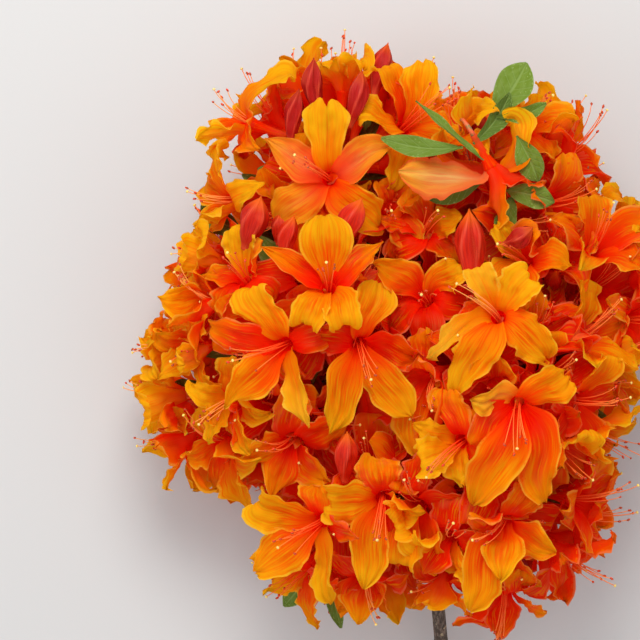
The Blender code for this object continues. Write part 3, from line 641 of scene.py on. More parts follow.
def bent_to(reach, rise, mouth, length, turned):
    """How a petal that leaves the mouth has to lean and curl for a middle line of this length to end
    at the given reach and rise: the best over a table of both, and the length that then fits."""
    s = np.linspace(0, 1, 31)[:, None, None]
    lean = np.radians(np.linspace(-15, 150, 67))[None, :, None]
    curl = np.radians(np.linspace(-30, 200, 47))[None, None, :]
    lines = CLAW_LEAN + (lean - CLAW_LEAN) * smooth(s, 0.0, turned) + curl * smooth(s, 0.45, 1.0)
    out, up = np.sin(lines).mean(axis=0), np.cos(lines).mean(axis=0)
    wanted = math.atan2(reach - mouth, rise + LOBE_FOOT)
    span = math.hypot(reach - mouth, rise + LOBE_FOOT)
    off = np.abs(np.angle(np.exp(1j * (np.arctan2(out, up) - wanted))))
    chord = np.hypot(out, up)
    cost = (off / 0.05) ** 2 + ((span / np.maximum(chord, 0.05) / length - 1) / 0.22) ** 2
    cost = cost + (np.abs(curl[0] - 0.3) / 0.8) ** 2
    i, j = np.unravel_index(np.argmin(cost), cost.shape)
    fitting = float(np.clip(span / chord[i, j], 0.6 * length, 1.45 * length))
    return float(lean[0, i, 0]), float(curl[0, 0, j]), fitting


def lobe_outline(form, s, fine, lean_at, out_at):
    """Half a lobe's width at each row, and how tightly the row curves round the flower's axis: a fifth of
    the funnel low down, and a blade of its own cup above."""
    sector = np.interp(s, fine, np.maximum(out_at, LEAST_REACH)) * math.tan(LOBE_TURN / 2) * FUNNEL_LAP
    wide = form["width"] / 2 * blade(s * form["end"], form["swell"], form["point"])
    widened = smooth(s, *(end * form["joined"] for end in FUNNEL_ENDS))
    half = np.maximum(sector + (wide - sector) * widened, LEAST_HALF_WIDTH)
    tight = np.interp(s, fine, np.cos(lean_at) / np.maximum(out_at, LEAST_REACH))
    return half, tight + (form["cup"] - tight) * smooth(s, 0.10, 0.45)


def lobe_relief(form, s, t, arc, free):
    """What lifts a lobe's face: its fold, its waved, rolled and frilled margin, its pleats, buckles and
    crumples, its middle crease and the lap over its neighbour. Free is how far a row is clear of the
    funnel."""
    left, right = form["phase"]
    phase = np.where(t < 0, left, right)
    waves = 2 * np.pi * form["waves"] * s
    edge = np.abs(t)
    rise = form["fold"] * np.sqrt(arc**2 + FOLD_ROUND**2) * free
    rise = rise + form["wave"] * free * edge**2.4 * np.sin(waves + phase)
    rise = rise + form["roll"] * free * edge**4 * np.sin(np.pi * np.minimum(s * 1.1, 1))
    rise = rise + form["frill"] * free * edge**4 * np.sin(2.3 * waves + 2 * phase)
    rise = rise + 0.5 * form["frill"] * free * edge**6 * np.sin(4.1 * waves + 3 * phase)
    rise = rise + free * form["pleat"] * np.cos(2 * np.pi * (1.55 * t + 0.35 * s + left))
    rise = rise + free * form["pleat"] * 0.45 * np.cos(2 * np.pi * (2.9 * t - 0.6 * s + right))
    rise = rise + free * form["buckle"] * np.sin(2 * np.pi * (1.3 * s + left)) * np.cos(np.pi * t / 2)
    for long_waves, cross_waves, size in CRUMPLES:
        crumpled = 2 * np.pi * (long_waves * s + cross_waves * t) + long_waves * left + right
        rise = rise + form["crumple"] * size * free * np.sin(crumpled)
    rise = rise - form["crease"] * free * np.exp(-((t / CREASE_WIDTH) ** 2))
    rise = rise + form["lap"] * t * smooth(s, 0.0, 0.12) * smooth(1 - s, 0.0, 0.55)
    ragged = 1 + RAGGED * form["frill"] * free * edge**3 * np.sin(3.1 * waves + 5 * phase)
    return rise, ragged


def lobe(sizes, rows, columns, form, cell):
    """A petal lobe. Its middle line leaves the tube's mouth and leans out by an angle that rises along
    it, and near its tip it may hook over. Low down it is a fifth of the corolla's funnel, curved round
    the flower's axis and lapped with its neighbours. Above, it widens into a blade that is folded and
    creased along its middle, pleated lengthwise, waved and frilled towards its margin and twisted."""
    s = np.linspace(0, 1, rows + 1)[:, None]
    t = np.linspace(-1, 1, columns + 1)[None, :]
    length, mouth = form["length"], sizes.throat_radius * MOUTH_SHARE
    fine = np.linspace(0, 1, LINE_STEPS + 1)
    lean_at = CLAW_LEAN + (form["open"] - CLAW_LEAN) * smooth(fine, 0.0, LEANT_BY * form["joined"])
    lean_at = lean_at + form["recurve"] * smooth(fine, 0.45, 1.0) + form["hook"] * smooth(fine, 0.76, 1.0)
    out_at = mouth + running(np.sin(lean_at), length / LINE_STEPS)
    up_at = -LOBE_FOOT + running(np.cos(lean_at), length / LINE_STEPS)
    tipped = form["round"] * np.abs(t) ** 2.2 + form["notch"] * np.exp(-((t / 0.2) ** 2))
    place = s - tipped * smooth(s, 0.35, 1.0)
    lean, out, up = (np.interp(place, fine, line) for line in (lean_at, out_at, up_at))
    half, curl = lobe_outline(form, s, fine, lean_at, out_at)
    arc = half * t
    turn = curl * arc
    relief, ragged = lobe_relief(form, s, t, arc, smooth(s, 0.18, 0.55))
    across = arc * np.sinc(turn / np.pi) * ragged
    rise = arc * turn / 2 * np.sinc(turn / (2 * np.pi)) ** 2 + relief
    twist = form["twist"] * s ** form["late"]
    across, rise = (across * np.cos(twist) - rise * np.sin(twist),
                    across * np.sin(twist) + rise * np.cos(twist))
    across = across + form["bend"] * length * np.sin(np.pi * s) * s
    swing = form["swing"] * smooth(s, 0.08, 0.75)
    faces = []
    for depth in (0.0, sizes.petal_thickness * (1 - np.abs(t) ** 3) * (1 - s**6)):
        inward = rise - depth
        x = out - inward * np.cos(lean)
        faces.append(np.stack([x * np.cos(swing) - across * np.sin(swing),
                               x * np.sin(swing) + across * np.cos(swing),
                               up + inward * np.sin(lean)], axis=2))
    return shell(faces[0], faces[1], (t + 1) / 2, place, "petal", cell)


def lobe_forms(sizes, rng, open_angle, vigour):
    """What sets each of the five lobes apart. The upper one is broad, blunt and creased down its
    middle, the rest are pointed."""
    forms = []
    for i in range(5):
        upper = i == 0
        lower = i in (2, 3)
        length = sizes.petal_length * vigour * (1.0 + 0.05 * lower + rng.normal(0, 0.04))
        width = sizes.petal_width * vigour * ((1.2 if upper else 0.98) + rng.normal(0, 0.05))
        forms.append({
            "length": length * (0.96 if upper else 1.0),
            "width": width,
            "open": math.radians(open_angle + rng.normal(0, 9) - (10 if upper else 0)),
            "recurve": math.radians(abs(rng.normal(24, 30))),
            "hook": math.radians(max(0.0, rng.normal(20, 55))),
            "swing": rng.normal(0, 0.12),
            "cup": rng.normal(28, 20) if upper else rng.normal(-6, 30),
            "fold": rng.uniform(0.0, 0.22) if upper else rng.uniform(0.12, 0.60),
            "crease": rng.uniform(0.0004, 0.0012) if upper else rng.uniform(0.0, 0.0006),
            "swell": 1.15 if upper else rng.uniform(0.85, 1.1),
            "point": 0.48 if upper else rng.uniform(0.80, 1.25),
            "end": 0.955 if upper else 0.99,
            "round": 0.075 if upper else 0.01,
            "notch": rng.uniform(0.0, 0.05) if upper else 0.0,
            "wave": rng.uniform(0.0014, 0.0036) * (0.7 if upper else 1.0),
            "waves": rng.uniform(0.9, 1.9),
            "frill": rng.uniform(0.0006, 0.0016),
            "roll": rng.normal(0, 0.0018),
            "phase": (rng.uniform(0, 6.3), rng.uniform(0, 6.3)),
            "pleat": rng.uniform(0.00030, 0.00068),
            "crumple": 0.00024,
            "buckle": rng.uniform(0.0004, 0.0014),
            "lap": rng.uniform(0.0007, 0.0014),
            "twist": rng.normal(0, 0.32),
            "late": 1.5,
            "bend": rng.normal(0, 0.06),
            "joined": 1.0,
            "spent": 0.0,
        })
    return forms


def aimed_forms(sizes, forms, tips):
    """Turns the forms into ones whose tips come to the given places about the throat. The places are taken
    in order round the flower, the flower is rolled to suit them, and each lobe then swings, leans and curls
    by what is left. Changes the forms in place and gives the roll and each one's row in the table."""
    around = np.arctan2(tips[:, 1], tips[:, 0])
    order = np.argsort((around - around[0]) % (2 * np.pi))
    sums = np.exp(1j * (around[order] - LOBE_TURN * np.arange(5))).sum()
    roll = float(np.angle(sums))
    mouth = sizes.throat_radius * MOUTH_SHARE
    for place, row in enumerate(order):
        form = forms[row]
        off = around[row] - roll - LOBE_TURN * place
        form["swing"] = float(np.angle(np.exp(1j * off)))
        reach, rise = float(np.hypot(*tips[row, :2])), float(tips[row, 2])
        turned = LEANT_BY * form["joined"]
        bent = bent_to(reach, rise, mouth, sizes.petal_length, turned)
        form["open"], form["recurve"], form["length"] = bent
        form["length"] *= 1 + 0.05 * form["hook"]
        form["bend"] = 0.0
    return roll, order


def corolla_tube(sizes, sides, rings, cell):
    """The narrow tube, which widens to its mouth as a cube does, with its inner wall. Its rim stands
    lower than the foot of the lobes' funnel, outside it."""
    s = np.linspace(0, 1, rings + 1)
    outer = sizes.tube_radius + (sizes.throat_radius - sizes.tube_radius) * s**3
    inner = np.maximum(outer[::-1][: rings // 2 + 1] - TUBE_WALL, TUBE_WALL)
    height = (s - 1) * sizes.tube_length - TUBE_RIM_DROP * s
    inner_height = height[::-1][: rings // 2 + 1]
    radii = np.concatenate([outer, inner])
    heights = np.concatenate([height, inner_height + 0.00005])
    return ring_patch(turned_points(radii, heights, sides), "petal", cell + ("tube",))


# The threads start this far down the tube and this far from its axis. The last of them is the style, and
# the others reach only a share of the way to its end.
STAMEN_INSIDE = 0.009
STAMEN_RING = 0.0009
STYLE = 5
FILAMENT_SHARES = (0.70, 0.88)
KNOB_RINGS = 6


def stamen_paths(rng, points, target):
    """Five filaments and the longer style: each starts inside the tube, on its own side of the axis,
    runs out along it and curves over to end near the target, the filaments a little short of it."""
    q = np.linspace(0, 1, points)[:, None]
    paths = []
    for i in range(STYLE + 1):
        style = i == STYLE
        angle = 2 * math.pi * (i / 5 + rng.uniform(-0.1, 0.1))
        side = np.array([math.cos(angle), math.sin(angle), 0.0])
        start = side * STAMEN_RING - np.array([0, 0, STAMEN_INSIDE])
        share = 1.0 if style else rng.uniform(*FILAMENT_SHARES)
        spread = rng.normal(0, 0.0022, 3) if not style else np.zeros(3)
        end = target * share + side * (0.0 if style else rng.uniform(0.001, 0.004)) + spread
        span = np.linalg.norm(end - start)
        first = start + np.array([0, 0, 0.42]) * span + side * 0.0008
        second = first + (end - first) * 0.5 + np.array([0, 0, 0.10]) * span
        paths.append((1 - q) ** 3 * start + 3 * q * (1 - q) ** 2 * first
                     + 3 * q**2 * (1 - q) * second + q**3 * end)
    return paths


def stamens(sizes, rng, points, sides, cell, target, palest):
    """Stalks carried along their paths, with a long tilted anther or a round stigma on each."""
    patches = []
    for i, path in enumerate(stamen_paths(rng, points, target)):
        style = i == STYLE
        radius = sizes.filament_radius * (1.1 if style else 1.0) * np.linspace(1.2, 0.8, points)
        stalk = ring_patch(carried_points(path, radius, sides), "filament", cell + ("filament",))
        patches.append(stalk.dealt(rng.random(), palest, 0, 0))
        end, ahead = path[-1], unit(path[-1] - path[-2])
        if style:
            span, fat, slot = 0.0012, 0.00078, "stigma"
        else:
            span, fat, slot = 0.0020, 0.00058, "anther"
            ahead = unit(ahead + rng.normal(0, 0.5, 3))
        share = np.linspace(-1, 1, KNOB_RINGS)
        profile = fat * np.sqrt(np.clip(1.04 - share**2, 0, 1))
        knob = carried_points(end + ahead * (share[:, None] * span / 2), profile, sides)
        patches.append(ring_patch(knob, slot, cell + (slot,)))
    return patches


# How golden a petal usually is and how much that varies, and how much more golden the upper petal is.
USUAL_GOLD = (0.30, 0.18)
UPPER_GOLD = 0.35
PALE_SHARE = 0.9
AIMED_WIDTH = 0.96


def flower(sizes, name, rng, detail, open_angle, vigour, warmth, aims=None):
    """One open flower about its throat, with +X towards its upper lobe and +Z out of its face. Aims,
    if given, are the five tips and the stigma's place about the throat, and the tips' gold."""
    rows, columns, points, sides = detail
    cell = (name,)
    patches = []
    forms = lobe_forms(sizes, rng, open_angle, vigour)
    roll, order = 0.0, np.arange(5)
    golds = rng.normal(*USUAL_GOLD, 5) + warmth
    golds[0] += UPPER_GOLD
    target = np.array([rng.uniform(0.003, 0.013), rng.normal(0, 0.003),
                       rng.uniform(0.70, 0.80) * sizes.stamen_length])
    if aims is not None:
        tips, target, golds, widths = aims
        for form, share, own in zip(forms, widths, SHAPED.get(name, ({},) * 5)):
            form["width"] = sizes.petal_width * share * AIMED_WIDTH
            form.update(own)
        roll, order = aimed_forms(sizes, forms, tips)
    for place, row in enumerate(order):
        form = forms[row]
        petal = lobe(sizes, rows, columns, form, cell + (int(row),))
        turn = LOBE_TURN * place + roll + (0 if aims is not None else rng.normal(0, 0.05))
        cosine, sine = math.cos(turn), math.sin(turn)
        petal.moved(np.array([[cosine, -sine, 0], [sine, cosine, 0], [0, 0, 1]]), 0.0)
        gold = float(golds[row])
        fade = np.clip((gold - 1.02) * 3.5 + rng.uniform(0, 0.4), 0, 1)
        petal.dealt(rng.random(), np.clip(gold, 0, 1), fade, form["spent"])
        patches.append(petal)
    tube = corolla_tube(sizes, max(8, columns), max(8, rows // 2), cell)
    tube.tell[:, 2:] = (0.0, 1.0)
    tube.dealt(rng.random(), 0.3, rng.random(), 0.0)
    patches.append(tube)
    palest = PALE_SHARE if name in PALE_STAMENS else rng.uniform(0, 0.2)
    patches.extend(stamens(sizes, rng, points, sides, cell, target, palest))
    return patches


def pedicel(start, foot, axis, sides, cell, radius):
    """The flower's stalk: a curve from the truss's heart that comes in line with the flower's tube."""
    reach = np.linalg.norm(foot - start)
    q = np.linspace(0, 1, 9)[:, None]
    bend = foot - axis * reach * 0.5
    path = (1 - q) ** 2 * start + 2 * q * (1 - q) * bend + q**2 * (foot + axis * 0.001)
    radii = radius * (0.62 + 0.38 * smooth(q[:, 0], 0.75, 1.0))
    return ring_patch(carried_points(path, radii, sides), "twig", cell + ("stalk",))


# -------------------- where things go


# How far out of its throat a flower's heart lies, the point that its neighbours are kept from.
HEART_DEPTH = 0.008


class Site:
    """A flower's place: its truss, its throat, the way it faces, its width's share, the aims of a bloom
    that has a solid, and how many layers of the crowd lie over it."""

    def __init__(self, name, truss, throat, axis, width, aims=None, deep=0):
        self.name, self.truss, self.throat, self.axis = name, truss, throat, axis
        self.width, self.aims, self.deep = width, aims, deep
        self.heart = throat + axis * HEART_DEPTH


# The outer and the deeper layer of a truss's crowd: how far out its throats lie, the room that other
# trusses' hearts are left, and the least gap between two flowers.
CROWD_LAYERS = ((0.043, 0.036, 0.0225), (0.030, 0.024, 0.0195))
CROWD_TRIES = 40
CROWD_SPAN = 1.6
CROWD_WIDTHS = (0.84, 1.0)
GOLDEN_ANGLE = 2.39996
CROWD_EDGE_ROOM = 21
TOP_ROOM_SHARE = 0.7
LOWEST_THROAT = 0.014
FURTHEST_BACK = -0.45
HEAD_MIDDLE = np.array([40.0, -6.0, 52.0])


def inside_crown(throat):
    """Whether a throat lies far enough within the crown's left edge and top for its petals to end
    there."""
    x, y, _ = (throat - CROWN_AT) / MM
    edge, top = np.array(CROWN_EDGE, float), np.array(CROWN_TOP, float)
    left = np.interp(y, edge[:, 0], edge[:, 1]) + CROWD_EDGE_ROOM
    return x > left and y < np.interp(x, top[:, 0], top[:, 1]) - CROWD_EDGE_ROOM * TOP_ROOM_SHARE


def outward_from(truss):
    """The direction from the middle of the head to a truss."""
    return unit(np.array(TRUSSES[truss][0]) - HEAD_MIDDLE)


def around_shoot(columns, around, height):
    """The direction at an angle round a shoot and a height along it, on a sphere of 1."""
    flat = math.sqrt(max(0.0, 1 - height**2))
    return columns @ np.array([flat * math.cos(around), flat * math.sin(around), height])


def crowd_sites(truss, layer, hearts, sites):
    """Adds one layer of a truss's crowd to the sites: an even spiral round its shoot, less each flower
    that comes too near the ground, the crown's edge, another truss's heart or a flower before it."""
    reach, room, gap = CROWD_LAYERS[layer]
    rng = seeded(f"crowd {truss} {layer}")
    heart, outward = hearts[truss], outward_from(truss)
    columns = axes_for(unit(TRUSSES[truss][1]))
    for k in range(CROWD_TRIES):
        height = 1 - CROWD_SPAN * (k + 0.5) / CROWD_TRIES
        axis = around_shoot(columns, k * GOLDEN_ANGLE + rng.normal(0, 0.12), height)
        throat = heart + axis * reach * rng.uniform(0.92, 1.04)
        width = rng.uniform(*CROWD_WIDTHS)
        site = Site(f"crowd_{truss}_{layer}_{k}", truss, throat, axis, width, deep=layer)
        if throat[2] < LOWEST_THROAT or axis @ outward < FURTHEST_BACK or not inside_crown(throat):
            continue
        if min(np.linalg.norm(site.heart - h) for t, h in hearts.items() if t != truss) < room:
            continue
        if min(np.linalg.norm(site.heart - s.heart) for s in sites) < gap:
            continue
        sites.append(site)


def all_sites():
    """The blooms with solids, and then the crowd: all trusses' outer layers first, and after them the
    deeper, closer-set ones."""
    sites = []
    for truss, rows in BLOOMS.items():
        for i, ((x, y, z, turn, lean, width), aims) in enumerate(zip(rows, AIMED[truss])):
            name = f"bloom_{truss}_{i + 1}"
            sites.append(Site(name, truss, placed((x, y, z)), facing(turn, lean), width, aims))
    hearts = {truss: placed(middle) for truss, (middle, _) in TRUSSES.items()}
    for layer in range(len(CROWD_LAYERS)):
        for truss in TRUSSES:
            crowd_sites(truss, layer, hearts, sites)
    return sites


# Petals give way to neighbours whose hearts are nearer than this. Past the plane midway and the slack,
# they are eased back by this share.
PRESS_REACH = 0.075
PRESS_SLACK = 0.006
PRESS_SHARE = 0.75

# How far past each side of the solids' box petals may reach, and over what distance they ease off.
WALL_ROOM = (0.0165, 0.019, 0.0135)
WALL_EASE = 0.012
GROUND_EASE = 0.005


def pressed(points, site, sites):
    """Crowded petals: past the plane midway to a neighbour, and a little slack, a point is eased back
    towards it."""
    points = points.copy()
    for other in sites:
        apart = other.heart - site.heart
        gap = np.linalg.norm(apart)
        if other is site or gap > PRESS_REACH:
            continue
        ahead = apart / gap
        past = (points - site.heart) @ ahead - gap / 2 - PRESS_SLACK
        points -= ahead * (np.maximum(past, 0) * PRESS_SHARE)[:, None]
    return points


def off_ground(points):
    """Lifts what lies too low: a height h below the ease e becomes e times exp(h / e - 1)."""
    low = points[:, 2] < GROUND_EASE
    points[low, 2] = GROUND_EASE * np.exp(points[low, 2] / GROUND_EASE - 1)
    return points


def in_bounds(points):
    """Keeps points off the ground and within the solids' box and a little more: past a wall's ease e, a
    distance d beyond it shrinks to e times 1 - exp(-d / e)."""
    points = points.copy()
    low, high = (np.array(corner, float) for corner in CAD_BOX)
    for i in range(3):
        top = high[i] + WALL_ROOM[i] - WALL_EASE
        over = np.maximum(points[:, i] - top, 0)
        points[:, i] = np.minimum(points[:, i], top) + WALL_EASE * (1 - np.exp(-over / WALL_EASE))
        if i < 2:
            end = low[i] - WALL_ROOM[i] + WALL_EASE
            under = np.maximum(end - points[:, i], 0)
            points[:, i] = np.maximum(points[:, i], end) - WALL_EASE * (1 - np.exp(-under / WALL_EASE))
    return off_ground(points)


# The small squares of the ground over which the blooms' heights are kept: their side, how many there are
# each way, and how far past the solids' box they start.
GROUND_CELL = 0.0035
HEIGHT_GRID = (92, 118)
GRID_MARGIN = 0.03
HIDE_SLACK = 0.001

# A flower's faces along and across a petal, its stamens' points and their sides, for a rough build.
ROUGH_LEVEL = (16, 8, 4, 4)


def ground_square(points):
    """The small square of the ground that each point stands over."""
    low = np.array(CAD_BOX[0][:2], float) - GRID_MARGIN
    square = ((points[:, :2] - low) / GROUND_CELL).astype(int)
    return tuple(np.clip(square, 0, np.array(HEIGHT_GRID) - 1).T)


def bloom_heights(scene, sites):
    """How high the blooms with solids reach over each small square of the ground."""
    reach = np.zeros(HEIGHT_GRID)
    for site in sites:
        if site.aims:
            for patch in flower_patches(scene, site, sites, ROUGH_LEVEL, 0.0):
                if patch.slot == "petal":
                    np.maximum.at(reach, ground_square(patch.points), patch.points[:, 2])
    return reach


def covers(points, reach):
    """The share of points that hide a bloom from above."""
    below = reach[ground_square(points)]
    hiding = (below > 0) & (points[:, 2] > below - HIDE_SLACK)
    return float(hiding.sum()) / len(points)


# How far a flower opens, in degrees from its axis, and how much that varies.
OPEN_ANGLES = (66, 7)
CROWD_GOLD_SHARE = 0.7
STALK_SIDES = 6


def flower_patches(scene, site, sites, detail, warmth):
    """A flower with its stalk, set in its place. One with no aims is pressed by its neighbours."""
    sizes = scene.azalea_flower
    rng = seeded(site.name)
    open_angle = rng.normal(*OPEN_ANGLES)
    columns = axes_for(site.axis, roll=rng.normal(0, 0.14))
    # A truss's shift of gold. The lower trusses' redder shifts are partly painted shade.
    shift = GOLD_SHIFT.get(site.truss, 0.0)
    aims = None
    if site.aims:
        places = (np.array([placed(row[:3]) for row in site.aims]) - site.throat) @ columns
        tips, stigma = places[:5], places[5]
        golds = np.array([row[3] for row in site.aims[:5]])
        golds = golds + shift * np.maximum(1 - golds, 0)
        aims = tips, stigma, golds, [row[4] for row in site.aims[:5]]
    warmth = warmth + shift * CROWD_GOLD_SHARE
    patches = flower(sizes, site.name, rng, detail, open_angle, site.width, warmth, aims)
    for patch in patches:
        patch.moved(columns, site.throat)
    foot = site.throat - site.axis * sizes.tube_length
    start = placed(TRUSSES[site.truss][0])
    stalk = pedicel(start, foot, site.axis, STALK_SIDES, (site.name,), scene.azalea_wood.twig_radius)
    patches.append(stalk.dealt(rng.random(), 0, 0, 0))
    for patch in patches:
        patch.points = in_bounds(patch.points if aims else pressed(patch.points, site, sites))
    return patches


# -------------------- buds, leaves and wood


TIP_GAP = 1e-4
BUD_OUTLINE = (1.9, 1.35)
BUD_RIDGES = 5
LEAF_OUTLINE = (1.15, 0.8)
LEAF_THICKNESS = 0.0004
LEAF_SAG = 0.10
SIDE_VEINS = 7

# The rings of a cut's flat disc, as shares of the way out to the bark.
CUT_RINGS = (0.02, 0.25, 0.5, 0.75, 0.94)

# The ridges that run along a limb: how many stand round it, and each kind's height as a share of its radius.
BARK_RIDGES = ((5, 0.030), (9, 0.022), (14, 0.016))
SCAR_SPACING = 0.022
SCAR_HEIGHT = 0.09
SCAR_WIDTH = 0.0011
SHOOT_POINTS = 13
SHOOT_SIDES = 8


def bud_patch(foot, tip, radius, rng, name, rings=26, sides=20):
    """A bud: a slim neck that swells to a pointed five-ridged spindle, the ridges wound a little round
    it, with a shallow groove on each side of every ridge."""
    s = np.linspace(0, 1, rings + 1)
    angle = 2 * np.pi * np.arange(sides) / sides
    neck = 0.34 * (1 - smooth(s, 0.2, 0.5))
    swell = blade(np.clip(s, TIP_GAP, 1 - TIP_GAP), *BUD_OUTLINE)
    spindle = radius * np.maximum(neck + swell * (1 - 0.3 * neck), 0.03)
    wound = angle[None, :] + rng.uniform(0.8, 1.6) * s[:, None]
    crest = np.abs(np.cos(BUD_RIDGES / 2 * wound))
    grooved = 0.40 * (crest**1.8 - 0.5) - 0.06 * np.cos(2 * BUD_RIDGES * wound)
    ridge = 1 + smooth(s, 0.2, 0.5)[:, None] * grooved
    length = np.linalg.norm(tip - foot)
    sway = rng.normal(0, 0.05, 2)
    points = turned_points(spindle[:, None] * ridge, s * length, sides)
    points[:, :, :2] += (sway * length * np.sin(np.pi * s)[:, None])[:, None, :]
    patch = ring_patch(points, "bud", (name,))
    # The crests' share, along which the bud's material paints highlight.
    patch.tell[:, 2] = crest.ravel()
    patch.moved(axes_for(tip - foot), foot)
    return patch.dealt(rng.random(), rng.random(), rng.random(), 0)


def leaf_patch(foot, tip, width, roll, rng, name, rows=18, columns=10):
    """A leaf: a pointed blade folded a little along its midrib, its side veins sunk, its middle line
    bowed, with a short stalk that the foot of the blade narrows into."""
    s = np.linspace(0, 1, rows + 1)[:, None]
    t = np.linspace(-1, 1, columns + 1)[None, :]
    length = np.linalg.norm(tip - foot)
    half = np.maximum(width / 2 * blade(np.clip(s, TIP_GAP, 1 - TIP_GAP), *LEAF_OUTLINE), 0.0006)
    arc = half * t
    fold = rng.uniform(0.12, 0.35)
    rise = fold * np.abs(arc)
    veins = np.cos(2 * np.pi * (SIDE_VEINS * s - 1.5 * np.abs(t)))
    rise = rise + 0.00035 * veins * smooth(np.abs(t), 0.05, 0.4) * (1 - t**4)
    rise = rise + rng.uniform(0.0003, 0.0012) * np.sin(2 * np.pi * (2.1 * s + rng.random())) * t**3
    rise = rise - LEAF_SAG * length * (s**2 - s * 0.5) * rng.uniform(0.6, 1.6)
    thick = LEAF_THICKNESS * (1 - np.abs(t) ** 3) * (1 - s**8)
    along = np.broadcast_to(s * length, rise.shape)
    sway = rng.normal(0, 0.05) * length * np.sin(np.pi * s)
    faces = [np.stack([rise - depth, -(arc + sway), along], axis=2) for depth in (0.0, thick)]
    patch = shell(faces[0], faces[1], (t + 1) / 2, s, "leaf", (name,))
    patch.moved(axes_for(tip - foot, upper=(0, 0, 1), roll=math.radians(roll)), foot)
    return patch.dealt(rng.random(), rng.random(), rng.random(), 0)


def limb_patch(points, start, end, sides, steps, rng, name, cut=False):
    """A limb carried along its route: a round that tapers, with wandering lengthwise ridges and the
    swollen scars of old bud scales. A cut start closes with a flat disc, square to the limb."""
    path = smooth_route([placed(p) for p in points], steps)
    s = np.linspace(0, 1, len(path))[:, None]
    angle = 2 * np.pi * np.arange(sides)[None, :] / sides
    radius = start + (end - start) * s
    reach = np.linalg.norm(np.diff(path, axis=0), axis=1).sum()
    relief = np.zeros((len(path), sides))
    for count, size in BARK_RIDGES:
        sway = rng.uniform(1.5, 4.0)
        drift = sway * np.sin(2 * np.pi * (s * reach / rng.uniform(0.04, 0.09) + rng.random()))
        relief += size * np.sin(count * angle + drift + rng.uniform(0, 6.3))
    for _ in range(int(reach / SCAR_SPACING)):
        at = rng.uniform(0.04, 0.96)
        scar = SCAR_HEIGHT * np.exp(-(((s - at) * reach / SCAR_WIDTH) ** 2))
        relief += scar * (1 + 0.5 * np.sin(angle + rng.uniform(0, 6.3)))
    rings = carried_points(path, radius * (1 + relief), sides)
    if cut:
        middle = rings[0].mean(axis=0)
        disc = middle + (rings[0] - middle) * np.array(CUT_RINGS)[:, None, None]
        rings = np.concatenate([disc, rings])
    patch = ring_patch(rings, "bark", (name,))
    if cut:
        cut_share = [1.0] * len(CUT_RINGS) + [0.6] + [0.0] * (len(path) - 1)
        patch.tell[:, 1] = np.repeat([*CUT_RINGS, *[1.0] * len(path)], sides)
        patch.tell[:, 2] = np.repeat(cut_share, sides)
    return patch.dealt(rng.random(), rng.random(), 0, 0)


def twig_patch(start, end, ahead, radius, name):
    """A young shoot: one bend from start, arriving along ahead."""
    q = np.linspace(0, 1, SHOOT_POINTS)[:, None]
    reach = np.linalg.norm(end - start)
    bend = end - ahead * reach * 0.45
    path = (1 - q) ** 2 * start + 2 * q * (1 - q) * bend + q**2 * end
    radii = radius * np.linspace(1.15, 0.85, SHOOT_POINTS)
    return ring_patch(carried_points(path, radii, SHOOT_SIDES), "twig", (name,))


# -------------------- materials


